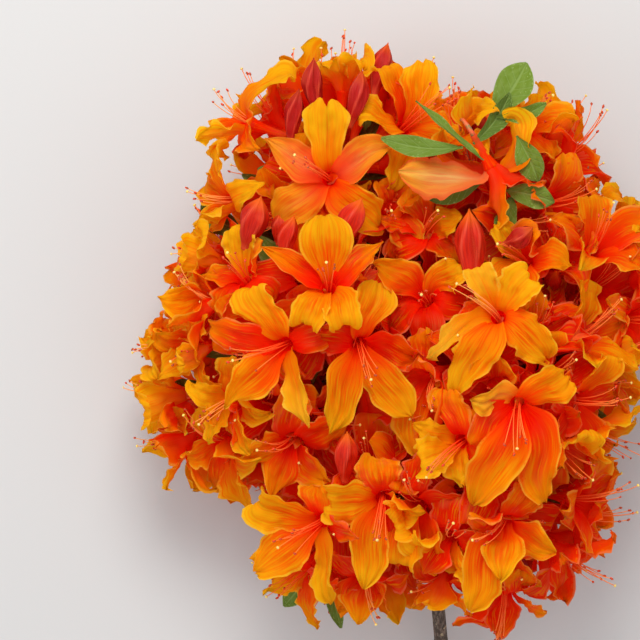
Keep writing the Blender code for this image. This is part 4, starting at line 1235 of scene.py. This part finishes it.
class Web:
    """A node tree, with short ways to place a node and join it."""

    def __init__(self, tree):
        self.tree = tree
        self.tree.nodes.clear()

    def node(self, kind, **settings):
        """A new node with its settings."""
        made = self.tree.nodes.new(kind)
        for name, value in settings.items():
            setattr(made, name, value)
        return made

    def result(self, kind, values, **settings):
        """The first output of a new node, its inputs fed in order."""
        made = self.node(kind, **settings)
        for socket, value in zip(made.inputs, values):
            self.feed(socket, value)
        return made.outputs[0]

    def feed(self, socket, value):
        """Joins a socket to another one, or sets it to a number or a colour."""
        if isinstance(value, bpy.types.NodeSocket):
            self.tree.links.new(value, socket)
        elif hasattr(value, "__len__") and len(value) == 3 and socket.type == "RGBA":
            socket.default_value = (*value, 1.0)
        else:
            socket.default_value = value

    def math(self, operation, *values):
        """The result of a math node."""
        return self.result("ShaderNodeMath", values, operation=operation)

    def times(self, one, other):
        """The product of two values."""
        return self.math("MULTIPLY", one, other)

    def step(self, value, low, high, bottom=0.0, top=1.0):
        """An S-shaped rise from bottom to top as value goes from low to high."""
        values = (value, low, high, bottom, top)
        return self.result("ShaderNodeMapRange", values, interpolation_type="SMOOTHSTEP")

    def mix(self, share, one, other):
        """One colour, with a share of another laid over it."""
        made = self.node("ShaderNodeMix", data_type="RGBA", blend_type="MIX")
        for name, value in ((0, share), (6, one), (7, other)):
            self.feed(made.inputs[name], value)
        return made.outputs[2]

    def told(self, title):
        """The four numbers of a point attribute."""
        source = self.node("ShaderNodeAttribute", attribute_name=title)
        parts = self.node("ShaderNodeSeparateColor")
        self.feed(parts.inputs[0], source.outputs["Color"])
        return (*parts.outputs, source.outputs["Alpha"])

    def noise(self, vector, scale, detail=2.0, roughness=0.5):
        """A cloudy pattern about 0.5."""
        made = self.node("ShaderNodeTexNoise")
        self.feed(made.inputs["Vector"], vector)
        made.inputs["Scale"].default_value = scale
        made.inputs["Detail"].default_value = detail
        made.inputs["Roughness"].default_value = roughness
        return made.outputs["Fac"]

    def gamma(self, tint, power):
        """A colour with each part raised to a power: below 1 it is a paler one."""
        return self.result("ShaderNodeGamma", (tint, power))

    def vector(self, x, y, z):
        """Three values as one place."""
        return self.result("ShaderNodeCombineXYZ", (x, y, z))

    def bump(self, height, strength, distance):
        """The normal of a surface with this relief."""
        made = self.node("ShaderNodeBump")
        made.inputs["Strength"].default_value = strength
        made.inputs["Distance"].default_value = distance
        self.feed(made.inputs["Height"], height)
        return made.outputs[0]

    def surface(self, base, roughness, normal=None, light_behind=None, share=0.0, **constants):
        """The Principled surface, with a share of it letting light through from behind if a colour for
        that is given."""
        shader = self.node("ShaderNodeBsdfPrincipled")
        self.feed(shader.inputs["Base Color"], base)
        self.feed(shader.inputs["Roughness"], roughness)
        for name, value in constants.items():
            shader.inputs[name.replace("_", " ")].default_value = value
        if normal is not None:
            self.feed(shader.inputs["Normal"], normal)
        shown = shader.outputs[0]
        if light_behind is not None:
            through = self.node("ShaderNodeBsdfTranslucent")
            self.feed(through.inputs["Color"], light_behind)
            both = self.node("ShaderNodeMixShader")
            both.inputs[0].default_value = share
            self.feed(both.inputs[1], shown)
            self.feed(both.inputs[2], through.outputs[0])
            shown = both.outputs[0]
        end = self.node("ShaderNodeOutputMaterial")
        self.feed(end.inputs["Surface"], shown)


def streak_group():
    """Fine lines that run along a petal or bud and spread as it widens, as a mask and as a height."""
    tree = bpy.data.node_groups.new("Lengthwise streaks", "ShaderNodeTree")
    for way, titles in (("INPUT", ("Across", "Along", "Seed", "Lines")), ("OUTPUT", ("Streaks", "Height"))):
        for title in titles:
            tree.interface.new_socket(title, in_out=way, socket_type="NodeSocketFloat")
    web = Web(tree)
    given = web.node("NodeGroupInput").outputs
    across = web.times(web.math("SUBTRACT", given["Across"], 0.5), given["Lines"])
    along = web.times(given["Along"], 2.2)
    place = web.vector(across, along, web.times(given["Seed"], 37.0))
    lines = web.noise(place, 1.25, detail=1.0, roughness=0.6)
    result = web.node("NodeGroupOutput")
    web.feed(result.inputs["Streaks"], web.step(lines, 0.45, 0.63))
    web.feed(result.inputs["Height"], web.math("MULTIPLY_ADD", lines, 1.1, 0.20))
    return tree


def streaks(web, group, across, along, seed, lines):
    """The streak group's mask and height, for so many lines across."""
    made = web.node("ShaderNodeGroup", node_tree=group)
    for title, value in (("Across", across), ("Along", along), ("Seed", seed), ("Lines", lines)):
        web.feed(made.inputs[title], value)
    return made.outputs["Streaks"], made.outputs["Height"]


def off_middle_line(web, across):
    """Nought on a petal's or leaf's middle line, and 1 at its margin."""
    return web.math("ABSOLUTE", web.times(web.math("SUBTRACT", across, 0.5), 2.0))


def new_material(name):
    """A material with an empty node tree, and its web."""
    made = bpy.data.materials.new(name)
    made.use_nodes = True
    return made, Web(made.node_tree)


# How many fine lines run side by side across a petal, and round a bud.
PETAL_LINES = 24.0
BUD_LINES = 46.0


class PetalSigns:
    """What a petal's points tell its material, and the patterns and places that its colours follow: the
    fine lines, the soft patches, how far out a point counts as lying, and how far a golden petal lifts
    that."""

    def __init__(self, web, group):
        self.along, self.across, self.face, self.tube = web.told("tell")
        seed, self.golden, self.fade, self.spent = web.told("deal")
        self.off_middle = off_middle_line(web, self.across)
        self.lines, self.height = streaks(web, group, self.across, self.along, seed, PETAL_LINES)
        self.patchy = web.noise(web.vector(self.across, self.along, web.times(seed, 91.0)), 2.8, detail=0.0)
        self.pinker = web.math("FRACT", web.times(seed, 7.3))
        shift = web.math("MULTIPLY_ADD", web.math("SUBTRACT", self.patchy, 0.5), 0.44, self.along)
        shift = web.math("MULTIPLY_ADD", web.math("SUBTRACT", self.height, 0.75), 0.42, shift)
        self.outer = web.math("MULTIPLY_ADD", web.math("POWER", self.off_middle, 2.0), 0.12, shift)
        self.lifted = web.math("MULTIPLY_ADD", web.math("SUBTRACT", self.golden, 0.44), 1.0, self.outer)
        self.low = web.math("MULTIPLY_ADD", web.math("SUBTRACT", self.golden, 0.40), 0.16, self.outer)


def petal_rim_highlight(web, tints, signs):
    """Where a petal's thin rim lies, and its tint: rose on a red petal, yellow or cream on a golden one. The
    rim is painted highlight along the margin, partly the margin's own paler tint.
    """
    rim = web.times(web.step(signs.off_middle, 0.86, 0.955), web.step(signs.along, 0.22, 0.50))
    pale_rim_highlight = web.mix(web.step(signs.fade, 0.0, 0.8, 0.40, 1.0), tints.yellow, tints.cream)
    return rim, web.mix(web.step(signs.golden, 0.0, 0.6), tints.rose, pale_rim_highlight)


def petal_clouds_and_veins(web, tints, signs, skin):
    """Salmon clouds on the redder petals, red veins low down, pale ones further out and a red midrib."""
    salmon = web.times(web.step(signs.patchy, 0.54, 0.36), web.step(signs.golden, 0.66, 0.12, 0.0, 0.8))
    salmon = web.times(salmon, web.step(signs.pinker, 0.1, 0.8, 0.25, 1.0))
    skin = web.mix(web.times(salmon, web.step(signs.along, 0.16, 0.42)), skin, tints.salmon)
    veined = web.times(signs.lines, web.step(signs.along, 0.95, 0.25, 0.24, 0.76))
    veined = web.times(veined, web.step(signs.golden, 0.80, 1.0, 1.0, 0.45))
    skin = web.mix(veined, skin, tints.flame)
    pale_lines = web.times(web.step(signs.height, 0.70, 0.58), web.step(signs.along, 0.22, 0.60, 0.0, 0.78))
    skin = web.mix(pale_lines, skin, web.mix(web.step(signs.golden, 0.2, 0.75), tints.gold, tints.yellow))
    midrib = web.times(web.step(signs.off_middle, 0.07, 0.0), web.step(signs.along, 0.95, 0.3, 0.05, 0.5))
    return web.mix(midrib, skin, tints.flame)


def petal_front(web, tints, signs, rim, rim_highlight_tint):
    """The inner face: throat red, flame, orange, gold and yellow in turn, with clouds, veins, a thin rim of
    painted highlight that is partly the margin's own paler tint, and pale tips that are partly painted
    highlight too.
    """
    skin = web.mix(web.step(signs.low, 0.08, 0.34), tints.throat, tints.flame)
    skin = web.mix(web.step(signs.lifted, 0.20, 0.54), skin, tints.orange)
    skin = web.mix(web.step(signs.lifted, 0.46, 0.84), skin, tints.gold)
    skin = web.mix(web.step(signs.lifted, 0.84, 1.22), skin, tints.yellow)
    skin = petal_clouds_and_veins(web, tints, signs, skin)
    # The thin rim: painted highlight, partly the margin's own paler tint.
    skin = web.mix(rim, skin, rim_highlight_tint)
    pale = web.times(web.step(signs.fade, 0.45, 1.0), web.step(signs.lifted, 0.8, 1.4, 0.0, 0.40))
    skin = web.mix(pale, skin, tints.cream)
    # Pale tips in the rim's tint: painted highlight, partly the tips' own paler colour.
    tip = web.times(web.step(signs.along, 0.92, 1.0), web.step(signs.fade, 0.0, 0.8, 0.25, 0.75))
    return web.mix(tip, skin, rim_highlight_tint)


def petal_withered(web, tints, signs):
    """A spent petal: peach, with an ivory middle, a yellower end, salmon lines and a salmon margin."""
    skin = web.mix(web.step(signs.off_middle, 0.50, 0.0), tints.peach, tints.ivory)
    skin = web.mix(web.times(web.step(signs.along, 0.45, 0.95), 0.55), skin, tints.yellow)
    skin = web.mix(web.times(signs.lines, 0.45), skin, tints.salmon)
    margin = web.math("MAXIMUM", web.step(signs.off_middle, 0.68, 0.96), web.step(signs.outer, 0.5, 0.1))
    return web.mix(web.times(margin, 0.75), skin, tints.salmon)


def petal_back(web, tints, signs, rim, rim_highlight_tint):
    """The outer face: flame to gold and yellow, with a salmon band along its middle and half of the thin
    rim's painted highlight.
    """
    skin = web.mix(web.step(signs.lifted, 0.20, 0.75), tints.flame, tints.orange)
    skin = web.mix(web.step(signs.lifted, 0.60, 1.05), skin, tints.gold)
    skin = web.mix(web.times(web.step(signs.lifted, 0.95, 1.3), 0.85), skin, tints.yellow)
    band = web.times(web.step(signs.off_middle, 0.8, 0.05), web.step(signs.along, 1.05, 0.45))
    band = web.times(band, web.step(signs.fade, 0.0, 0.6, 0.35, 0.80))
    skin = web.mix(band, skin, tints.salmon)
    skin = web.mix(web.times(signs.lines, 0.40), skin, tints.flame)
    # Half of the thin rim's painted highlight on the back as well.
    return web.mix(web.times(rim, 0.5), skin, rim_highlight_tint)


def trumpet_skin(web, tints, signs):
    """The tube: coral at its foot, flame further up and throat red inside its mouth, with orange lines."""
    skin = web.mix(web.step(signs.along, 0.02, 0.5), tints.coral, tints.flame)
    skin = web.mix(web.times(signs.lines, 0.6), skin, tints.orange)
    return web.mix(web.step(signs.along, 0.64, 0.74), skin, tints.throat)


def petal_material(tints, group):
    """Deep red at the throat, then flame, orange, gold and yellow towards the tip, the more golden a petal
    is dealt the sooner. A spent petal is peach, and light comes through it all."""
    made, web = new_material("Azalea petal")
    signs = PetalSigns(web, group)
    # The rim and its tint carry painted highlight along each petal's margin.
    rim, rim_highlight_tint = petal_rim_highlight(web, tints, signs)
    withered = petal_withered(web, tints, signs)
    front = web.mix(signs.spent, petal_front(web, tints, signs, rim, rim_highlight_tint), withered)
    back = web.mix(signs.spent, petal_back(web, tints, signs, rim, rim_highlight_tint), withered)
    skin = web.mix(web.step(signs.face, 0.2, 0.8), back, front)
    skin = web.mix(signs.tube, skin, trumpet_skin(web, tints, signs))
    web.surface(skin, web.step(signs.patchy, 0.3, 0.7, 0.42, 0.60), None, web.gamma(skin, 0.62), 0.62,
                Specular_IOR_Level=0.04)
    return made


def filament_material(tints):
    """Red at the foot and orange above, or pale peach where it is dealt so."""
    made, web = new_material("Azalea filament")
    along = web.told("tell")[0]
    palest = web.told("deal")[1]
    upper = web.mix(palest, tints.filament, tints.peach)
    skin = web.mix(web.step(along, 0.10, 0.9), web.mix(palest, tints.flame, tints.filament), upper)
    spot = web.node("ShaderNodeTexCoord").outputs["Object"]
    grain = web.noise(spot, 900.0, detail=2.0)
    skin = web.mix(web.step(grain, 0.4, 0.7, 0.0, 0.20), skin, tints.salmon)
    web.surface(skin, 0.5, Specular_IOR_Level=0.08)
    return made


def knob_material(name, tint, other):
    """A grainy anther or stigma in two colours."""
    made, web = new_material(name)
    spot = web.node("ShaderNodeTexCoord").outputs["Object"]
    grain = web.noise(spot, 1800.0, detail=2.0)
    web.surface(web.mix(web.step(grain, 0.35, 0.65), tint, other), 0.6, web.bump(grain, 0.4, 0.0002))
    return made


def bud_material(tints, group):
    """Deep red sides under coral ridges, orange and paler towards the tip of the warmer ones. The pink on
    the ridges is painted highlight, partly the wrapped petals' own paler edges.
    """
    made, web = new_material("Azalea bud")
    along, across, ridge, _ = web.told("tell")
    seed, warm, _, _ = web.told("deal")
    lines, height = streaks(web, group, across, along, seed, BUD_LINES)
    skin = web.mix(web.step(warm, 0.4, 1.0, 0.0, 0.55), tints.bud_red, tints.flame)
    # Pink on the ridges: painted highlight, partly the wrapped petals' own paler edges.
    skin = web.mix(web.step(ridge, 0.80, 1.0, 0.0, 0.60), skin, tints.bud_pink_and_highlight)
    skin = web.mix(web.times(lines, 0.5), skin, tints.bud_red)
    blush = web.noise(web.vector(across, along, web.times(seed, 29.0)), 3.0, detail=2.0)
    skin = web.mix(web.times(web.step(blush, 0.5, 0.7), 0.15), skin, tints.salmon)
    tip = web.times(web.step(along, 0.72, 1.0), web.step(warm, 0.1, 0.9, 0.15, 0.8))
    skin = web.mix(tip, skin, tints.orange)
    skin = web.mix(web.step(along, 0.22, 0.0, 0.0, 0.5), skin, tints.salmon)
    web.surface(skin, 0.5, web.bump(height, 0.6, 0.0006), web.gamma(skin, 0.7), 0.16,
                Specular_IOR_Level=0.18)
    return made


def leaf_material(tints):
    """A mid green blade, its midrib and side veins paler and its underside pale, a little mottled."""
    made, web = new_material("Azalea leaf")
    along, across, face, _ = web.told("tell")
    seed, warm, _, _ = web.told("deal")
    off_middle = off_middle_line(web, across)
    phase = web.math("MULTIPLY_ADD", along, float(SIDE_VEINS), web.times(off_middle, -1.5))
    wave = web.math("ABSOLUTE", web.math("SINE", web.times(phase, math.pi)))
    side_vein, midrib = web.step(wave, 0.94, 1.0), web.step(off_middle, 0.13, 0.03)
    veins = web.math("MAXIMUM", midrib, web.times(side_vein, 0.55))
    mottle = web.noise(web.vector(across, along, web.times(seed, 53.0)), 7.0, detail=4.0)
    skin = web.mix(web.step(mottle, 0.3, 0.7, 0.0, 0.35), tints.leaf, tints.leaf_pale)
    skin = web.mix(web.step(warm, 0.0, 1.0, 0.0, 0.45), skin, tints.leaf_dark)
    skin = web.mix(web.times(veins, 0.6), skin, tints.leaf_pale)
    under = web.mix(web.times(veins, 0.5), tints.leaf_pale, tints.leaf)
    skin = web.mix(web.step(face, 0.2, 0.8), under, skin)
    height = web.math("SUBTRACT", mottle, web.times(veins, 0.9))
    web.surface(skin, 0.55, web.bump(height, 0.6, 0.0006), skin, 0.25, Specular_IOR_Level=0.12)
    return made


def bark_material(tints):
    """Dark bark with paler worn ridges and flecks. The cut shows pale wood, its rings and a dark rim."""
    made, web = new_material("Azalea bark")
    _, outward, cut, _ = web.told("tell")
    spot = web.node("ShaderNodeTexCoord").outputs["Object"]
    stretch = web.node("ShaderNodeMapping")
    web.feed(stretch.inputs["Vector"], spot)
    stretch.inputs["Scale"].default_value = (1.0, 0.22, 1.0)
    ridges = web.noise(stretch.outputs[0], 900.0, detail=5.0, roughness=0.65)
    flecks = web.noise(spot, 420.0, detail=2.0)
    skin = web.mix(web.step(ridges, 0.42, 0.68), tints.bark, tints.bark_pale)
    skin = web.mix(web.step(flecks, 0.62, 0.72, 0.0, 0.6), skin, tints.cut_wood)
    rings = web.math("SINE", web.math("MULTIPLY_ADD", flecks, 3.0, web.times(outward, 24.0)))
    wood = web.mix(web.step(rings, -0.2, 0.9, 0.0, 0.45), tints.cut_wood, tints.bark_pale)
    wood = web.mix(web.step(outward, 0.86, 0.95), wood, tints.twig)
    skin = web.mix(web.step(cut, 0.5, 0.7), skin, wood)
    web.surface(skin, web.step(ridges, 0.3, 0.7, 0.9, 0.7), web.bump(ridges, 0.8, 0.0008))
    return made


def twig_material(tints):
    """Young green wood with a reddish mottle."""
    made, web = new_material("Azalea young wood")
    spot = web.node("ShaderNodeTexCoord").outputs["Object"]
    mottle = web.noise(spot, 300.0, detail=3.0)
    skin = web.mix(web.step(mottle, 0.35, 0.7), tints.twig, tints.coral)
    web.surface(skin, 0.6, web.bump(mottle, 0.4, 0.0004), Sheen_Weight=0.1)
    return made


def floor_material(tints):
    """One plain matt colour."""
    made, web = new_material("Plain floor")
    web.surface(tints.floor, 0.85)
    return made


# Each finish by the short name that patches use.
FINISHES = {
    "petal": "Azalea petal", "filament": "Azalea filament", "anther": "Azalea anther",
    "stigma": "Azalea stigma", "bud": "Azalea bud", "leaf": "Azalea leaf", "bark": "Azalea bark",
    "twig": "Azalea young wood",
}


def make_materials():
    """Makes every finish of the branch."""
    tints = bpy.context.scene.azalea_colours
    group = streak_group()
    petal_material(tints, group)
    filament_material(tints)
    knob_material("Azalea anther", tints.anther, tints.flame)
    knob_material("Azalea stigma", tints.stigma, tints.cream)
    bud_material(tints, group)
    leaf_material(tints)
    bark_material(tints)
    twig_material(tints)


def finish(short):
    """A finish by its short name. They are all made the first time that one is asked for."""
    if FINISHES[short] not in bpy.data.materials:
        make_materials()
    return bpy.data.materials[FINISHES[short]]


# -------------------- operators


# How many points and sides a stamen's thread has, on a large bloom and on a flower of the crowd.
STAMEN_STEPS = (13, 6)
CROWD_STAMEN_STEPS = (8, 4)

# How warm a crowd's flowers are on average in the outer layer, how much less so in the deeper one, and their
# spread. The deeper layer's redder, less golden colour is painted shade.
CROWD_WARMTH = -0.06
DEEPER_SHADE_COOLING = 0.34
WARMTH_SPREAD = 0.16

# A flower that hides more of the large blooms than this share of its points sinks a step along its own axis,
# and is a little redder there, as painted shade.
MOST_HIDING = 0.02
SINK_TRIES = 5
SINK_STEP = 0.0035
SINK_SHADE_COOLING = 0.07

# A truss's knot, where its stalks meet, and its young shoot: their widths by the young wood's radius.
KNOT_LENGTH = 0.012
KNOT_WIDTH = 1.4
SHOOT_WIDTH = 1.2

# How many spare buds each truss is tried with, and how low and how near to a flower's heart their tips
# may come. Then how many leaves stand in a whorl, and how low their tips may come.
SPARE_BUDS = 14
LOWEST_TIP = 0.006
BUD_ROOM = 0.0165
WHORL_LEAVES = 7
LOWEST_LEAF_TIP = 0.003


class AZALEA_OT_blooms(Operator):
    """Make the blooms that have solids of their own, one piece for each"""

    bl_idname = "azalea.blooms"
    bl_label = "Blooms"

    def execute(self, context):
        detail = context.scene.azalea_detail
        level = (detail.bloom_rows, detail.bloom_columns, *STAMEN_STEPS)
        sites = all_sites()
        for site in sites:
            if site.aims:
                patches = flower_patches(context.scene, site, sites, level, 0.0)
                build_piece(site.name + "_flower", patches, [site.name])
        return {"FINISHED"}


def crowd_flower(scene, site, sites, level, reach):
    """The patches of one flower of a crowd, sunk until it hides no large bloom, and redder with each step
    down, as painted shade. One that still hides one after the last try is left out."""
    # The deeper layer starts redder: painted shade.
    mean = CROWD_WARMTH - DEEPER_SHADE_COOLING * site.deep
    warmth = seeded("warmth " + site.name).normal(mean, WARMTH_SPREAD)
    for _ in range(SINK_TRIES):
        patches = flower_patches(scene, site, sites, level, warmth)
        if covers(np.vstack([patch.points for patch in patches]), reach) < MOST_HIDING:
            return patches
        site.throat = site.throat - site.axis * SINK_STEP
        # Redder as it sinks: painted shade.
        warmth -= SINK_SHADE_COOLING
    return []


class AZALEA_OT_crowd(Operator):
    """Make the flowers that each truss's mass stands for, joined into one piece a truss"""

    bl_idname = "azalea.crowd"
    bl_label = "Crowded flowers"

    def execute(self, context):
        scene = context.scene
        detail = scene.azalea_detail
        level = (detail.crowd_rows, detail.crowd_columns, *CROWD_STAMEN_STEPS)
        knot_radius = scene.azalea_wood.twig_radius * KNOT_WIDTH
        sites = all_sites()
        reach = bloom_heights(scene, sites)
        for truss, (middle, shoot) in TRUSSES.items():
            patches = []
            for site in sites:
                if site.truss == truss and not site.aims:
                    patches.extend(crowd_flower(scene, site, sites, level, reach))
            heart, ahead = placed(middle), unit(shoot)
            foot = heart - ahead * KNOT_LENGTH
            patches.append(twig_patch(foot, heart, ahead, knot_radius, truss + " knot"))
            build_piece(f"truss_{truss}_flowers", patches, ["mass_" + truss])
        return {"FINISHED"}


def spare_buds(truss, sites, radius):
    """Smaller buds all round a truss's heart, less each that would be too low or too near a flower."""
    middle, shoot = TRUSSES[truss]
    rng = seeded("spare buds " + truss)
    heart, columns = placed(middle), axes_for(shoot)
    patches = []
    for k in range(SPARE_BUDS):
        height = rng.uniform(-0.1, 1)
        axis = around_shoot(columns, rng.uniform(0, 6.3), height)
        foot, tip = heart + axis * 0.020, heart + axis * rng.uniform(0.040, 0.050)
        if tip[2] < LOWEST_TIP or min(np.linalg.norm(tip - site.heart) for site in sites) < BUD_ROOM:
            continue
        size = radius * rng.uniform(0.75, 1.05)
        patches.append(bud_patch(foot, tip, size, rng, f"spare {truss} {k}", rings=14, sides=10))
    return patches


class AZALEA_OT_buds(Operator):
    """Make the unopened buds between the flowers, as one piece"""

    bl_idname = "azalea.buds"
    bl_label = "Buds"

    def execute(self, context):
        radius = context.scene.azalea_flower.bud_radius
        patches, sites = [], all_sites()
        for i, (foot, tip, share) in enumerate(BUDS):
            name = f"bud {i}"
            patches.append(bud_patch(placed(foot), placed(tip), radius * share, seeded(name), name))
        for truss in TRUSSES:
            patches.extend(spare_buds(truss, sites, radius))
        build_piece("buds", patches, [])
        return {"FINISHED"}


def whorl(truss):
    """The ring of leaves under a truss, less those that would point into the head or straight up."""
    middle, shoot = TRUSSES[truss]
    rng = seeded("whorl " + truss)
    heart, columns, outward = placed(middle), axes_for(shoot), outward_from(truss)
    patches = []
    for k in range(WHORL_LEAVES):
        around = 2 * math.pi * (k + rng.uniform(-0.3, 0.3)) / WHORL_LEAVES
        axis = columns @ unit([math.cos(around), math.sin(around), rng.uniform(-0.3, 0.35)])
        if axis @ outward < -0.25 or axis[2] > 0.75:
            continue
        foot = heart - columns[:, 2] * 0.010 + axis * 0.006
        tip = foot + axis * rng.uniform(0.046, 0.060)
        tip[2] = max(tip[2], LOWEST_LEAF_TIP)
        width, roll = rng.uniform(0.013, 0.018), rng.uniform(-40, 40)
        patches.append(leaf_patch(foot, tip, width, roll, rng, f"whorl {truss} {k}", rows=12, columns=6))
    return patches


class AZALEA_OT_leaves(Operator):
    """Make the leaves: those that show between the blooms, and a whorl under each truss"""

    bl_idname = "azalea.leaves"
    bl_label = "Leaves"

    def execute(self, context):
        patches = []
        for i, (foot, tip, width, roll) in enumerate(LEAVES):
            name = f"leaf {i}"
            patches.append(leaf_patch(placed(foot), placed(tip), width * MM, roll, seeded(name), name))
        for truss in TRUSSES:
            patches.extend(whorl(truss))
        for patch in patches:
            off_ground(patch.points)
        build_piece("leaves", patches, ["leaves_upper", "leaves_foot"])
        return {"FINISHED"}


# How many sides and steps each limb has.
STEM_STEPS = (40, 60)
BOUGH_STEPS = (20, 40)


class AZALEA_OT_wood(Operator):
    """Make the main stem and each bough with the bark's relief, and the young shoots to the trusses"""

    bl_idname = "azalea.wood"
    bl_label = "Wood"

    def execute(self, context):
        wood = context.scene.azalea_wood
        stem = limb_patch(STEM_ROUTE, wood.stem_radius_cut, wood.stem_radius_fork, *STEM_STEPS,
                          seeded("stem"), "stem", cut=True)
        build_piece("stem_bark", [stem], ["main_stem"])
        for name, route in BOUGH_ROUTES.items():
            bough = limb_patch(route, wood.bough_radius, wood.bough_tip_radius, *BOUGH_STEPS,
                               seeded(name), name)
            build_piece(f"bough_{name}_bark", [bough], ["bough_" + name])
        ends = [placed(route[-1]) for route in (*BOUGH_ROUTES.values(), STEM_ROUTE)]
        shoot_radius = wood.twig_radius * SHOOT_WIDTH
        patches = []
        for truss, (middle, shoot) in TRUSSES.items():
            heart = placed(middle)
            nearest = min(ends, key=lambda end: np.linalg.norm(end - heart))
            patches.append(twig_patch(nearest, heart, unit(shoot), shoot_radius, "twig " + truss))
        build_piece("young_shoots", patches, [])
        return {"FINISHED"}


# The camera looks straight down from this height. VIEW_WIDTH is the width in sight at VIEW_LEVEL.
CAMERA_HEIGHT = 2.118
VIEW_LEVEL = 0.118
VIEW_WIDTH = 0.3048
SENSOR = 36.0

FLOOR_REACH = 3.0
FLOOR_DROP = 0.0002

# Each light: its name, place, width, watts and tint. They all point at LIT_MIDDLE.
LIT_MIDDLE = (0.0, 0.02, 0.07)
LIGHTS = (
    ("sky_light", (-0.06, 0.62, 0.86), 0.5, 6.4, (1.0, 0.99, 0.97)),
    ("side_light", (-1.3, -0.2, 0.9), 0.9, 4.0, (0.95, 0.97, 1.0)),
    ("fill_light", (0.9, -0.9, 1.2), 1.2, 1.2, (1.0, 0.97, 0.93)),
)
ROOM_TINT = (0.96, 0.97, 1.0)
ROOM_STRENGTH = 0.77


def lay_floor(scene):
    """The plain level floor, a hair below the branch."""
    corners = [(x * FLOOR_REACH, y * FLOOR_REACH, 0) for x, y in ((-1, -1), (1, -1), (1, 1), (-1, 1))]
    mesh = bpy.data.meshes.new("floor")
    mesh.from_pydata(corners, [], [(0, 1, 2, 3)])
    mesh.materials.append(floor_material(scene.azalea_colours))
    floor = bpy.data.objects.new("floor", mesh)
    floor.location.z = -FLOOR_DROP
    scene.collection.objects.link(floor)


def soft_light(scene, name, place, width, watts, tint):
    """A round lamp at a place, turned towards the lit middle."""
    lamp = bpy.data.lights.new(name, "AREA")
    lamp.shape = "DISK"
    lamp.size, lamp.energy, lamp.color = width, watts, tint
    made = bpy.data.objects.new(name, lamp)
    scene.collection.objects.link(made)
    made.location = place
    made.rotation_euler = (Vector(LIT_MIDDLE) - Vector(place)).to_track_quat("-Z", "Y").to_euler()


def pale_room(scene):
    """Even light from all round."""
    world = bpy.data.worlds.new("Pale room")
    world.use_nodes = True
    tint, strength = world.node_tree.nodes["Background"].inputs[:2]
    tint.default_value = (*ROOM_TINT, 1)
    strength.default_value = ROOM_STRENGTH
    scene.world = world


def hang_camera(scene):
    """The camera, straight above the crown's datum and looking down."""
    lens = bpy.data.cameras.new("camera")
    lens.sensor_width = SENSOR
    lens.lens = SENSOR * (CAMERA_HEIGHT - VIEW_LEVEL) / VIEW_WIDTH
    lens.clip_start, lens.clip_end = 0.05, 20.0
    camera = bpy.data.objects.new("camera", lens)
    camera.location = (CROWN_AT[0], CROWN_AT[1], CAMERA_HEIGHT)
    scene.collection.objects.link(camera)
    scene.camera = camera


class AZALEA_OT_stage(Operator):
    """Make the plain floor, the soft lights and the camera that looks straight down"""

    bl_idname = "azalea.stage"
    bl_label = "Stage"

    def execute(self, context):
        scene = context.scene
        lay_floor(scene)
        for light in LIGHTS:
            soft_light(scene, *light)
        pale_room(scene)
        hang_camera(scene)
        scene.view_settings.view_transform = "Standard"
        return {"FINISHED"}


class AZALEA_PT_panel(Panel):
    """The branch's sizes, colours and pieces"""

    bl_idname = "AZALEA_PT_panel"
    bl_label = "Azalea branch"
    bl_space_type = "VIEW_3D"
    bl_region_type = "UI"
    bl_category = "Azalea"

    def draw(self, context):
        for group in (context.scene.azalea_flower, context.scene.azalea_wood,
                      context.scene.azalea_colours, context.scene.azalea_detail):
            box = self.layout.box()
            for name in group.bl_rna.properties.keys():
                if name not in ("rna_type", "name"):
                    box.prop(group, name)
        for operator in OPERATORS:
            self.layout.operator(operator.bl_idname)


GROUPS = {
    "azalea_flower": AzaleaFlowerSizes,
    "azalea_wood": AzaleaWoodSizes,
    "azalea_colours": AzaleaColours,
    "azalea_detail": AzaleaDetail,
}
OPERATORS = (
    AZALEA_OT_blooms,
    AZALEA_OT_crowd,
    AZALEA_OT_buds,
    AZALEA_OT_leaves,
    AZALEA_OT_wood,
    AZALEA_OT_stage,
)


def register():
    """Adds the property groups, the operators and the panel."""
    for made in (*GROUPS.values(), *OPERATORS, AZALEA_PT_panel):
        bpy.utils.register_class(made)
    for name, group in GROUPS.items():
        setattr(bpy.types.Scene, name, PointerProperty(type=group))


def unregister():
    """Takes them out again."""
    for name in GROUPS:
        delattr(bpy.types.Scene, name)
    for made in (AZALEA_PT_panel, *reversed(OPERATORS), *reversed(GROUPS.values())):
        bpy.utils.unregister_class(made)


def main():
    """Makes every piece and the stage."""
    register()
    bpy.ops.azalea.blooms()
    bpy.ops.azalea.crowd()
    bpy.ops.azalea.buds()
    bpy.ops.azalea.leaves()
    bpy.ops.azalea.wood()
    bpy.ops.azalea.stage()


if __name__ == "__main__":
    main()
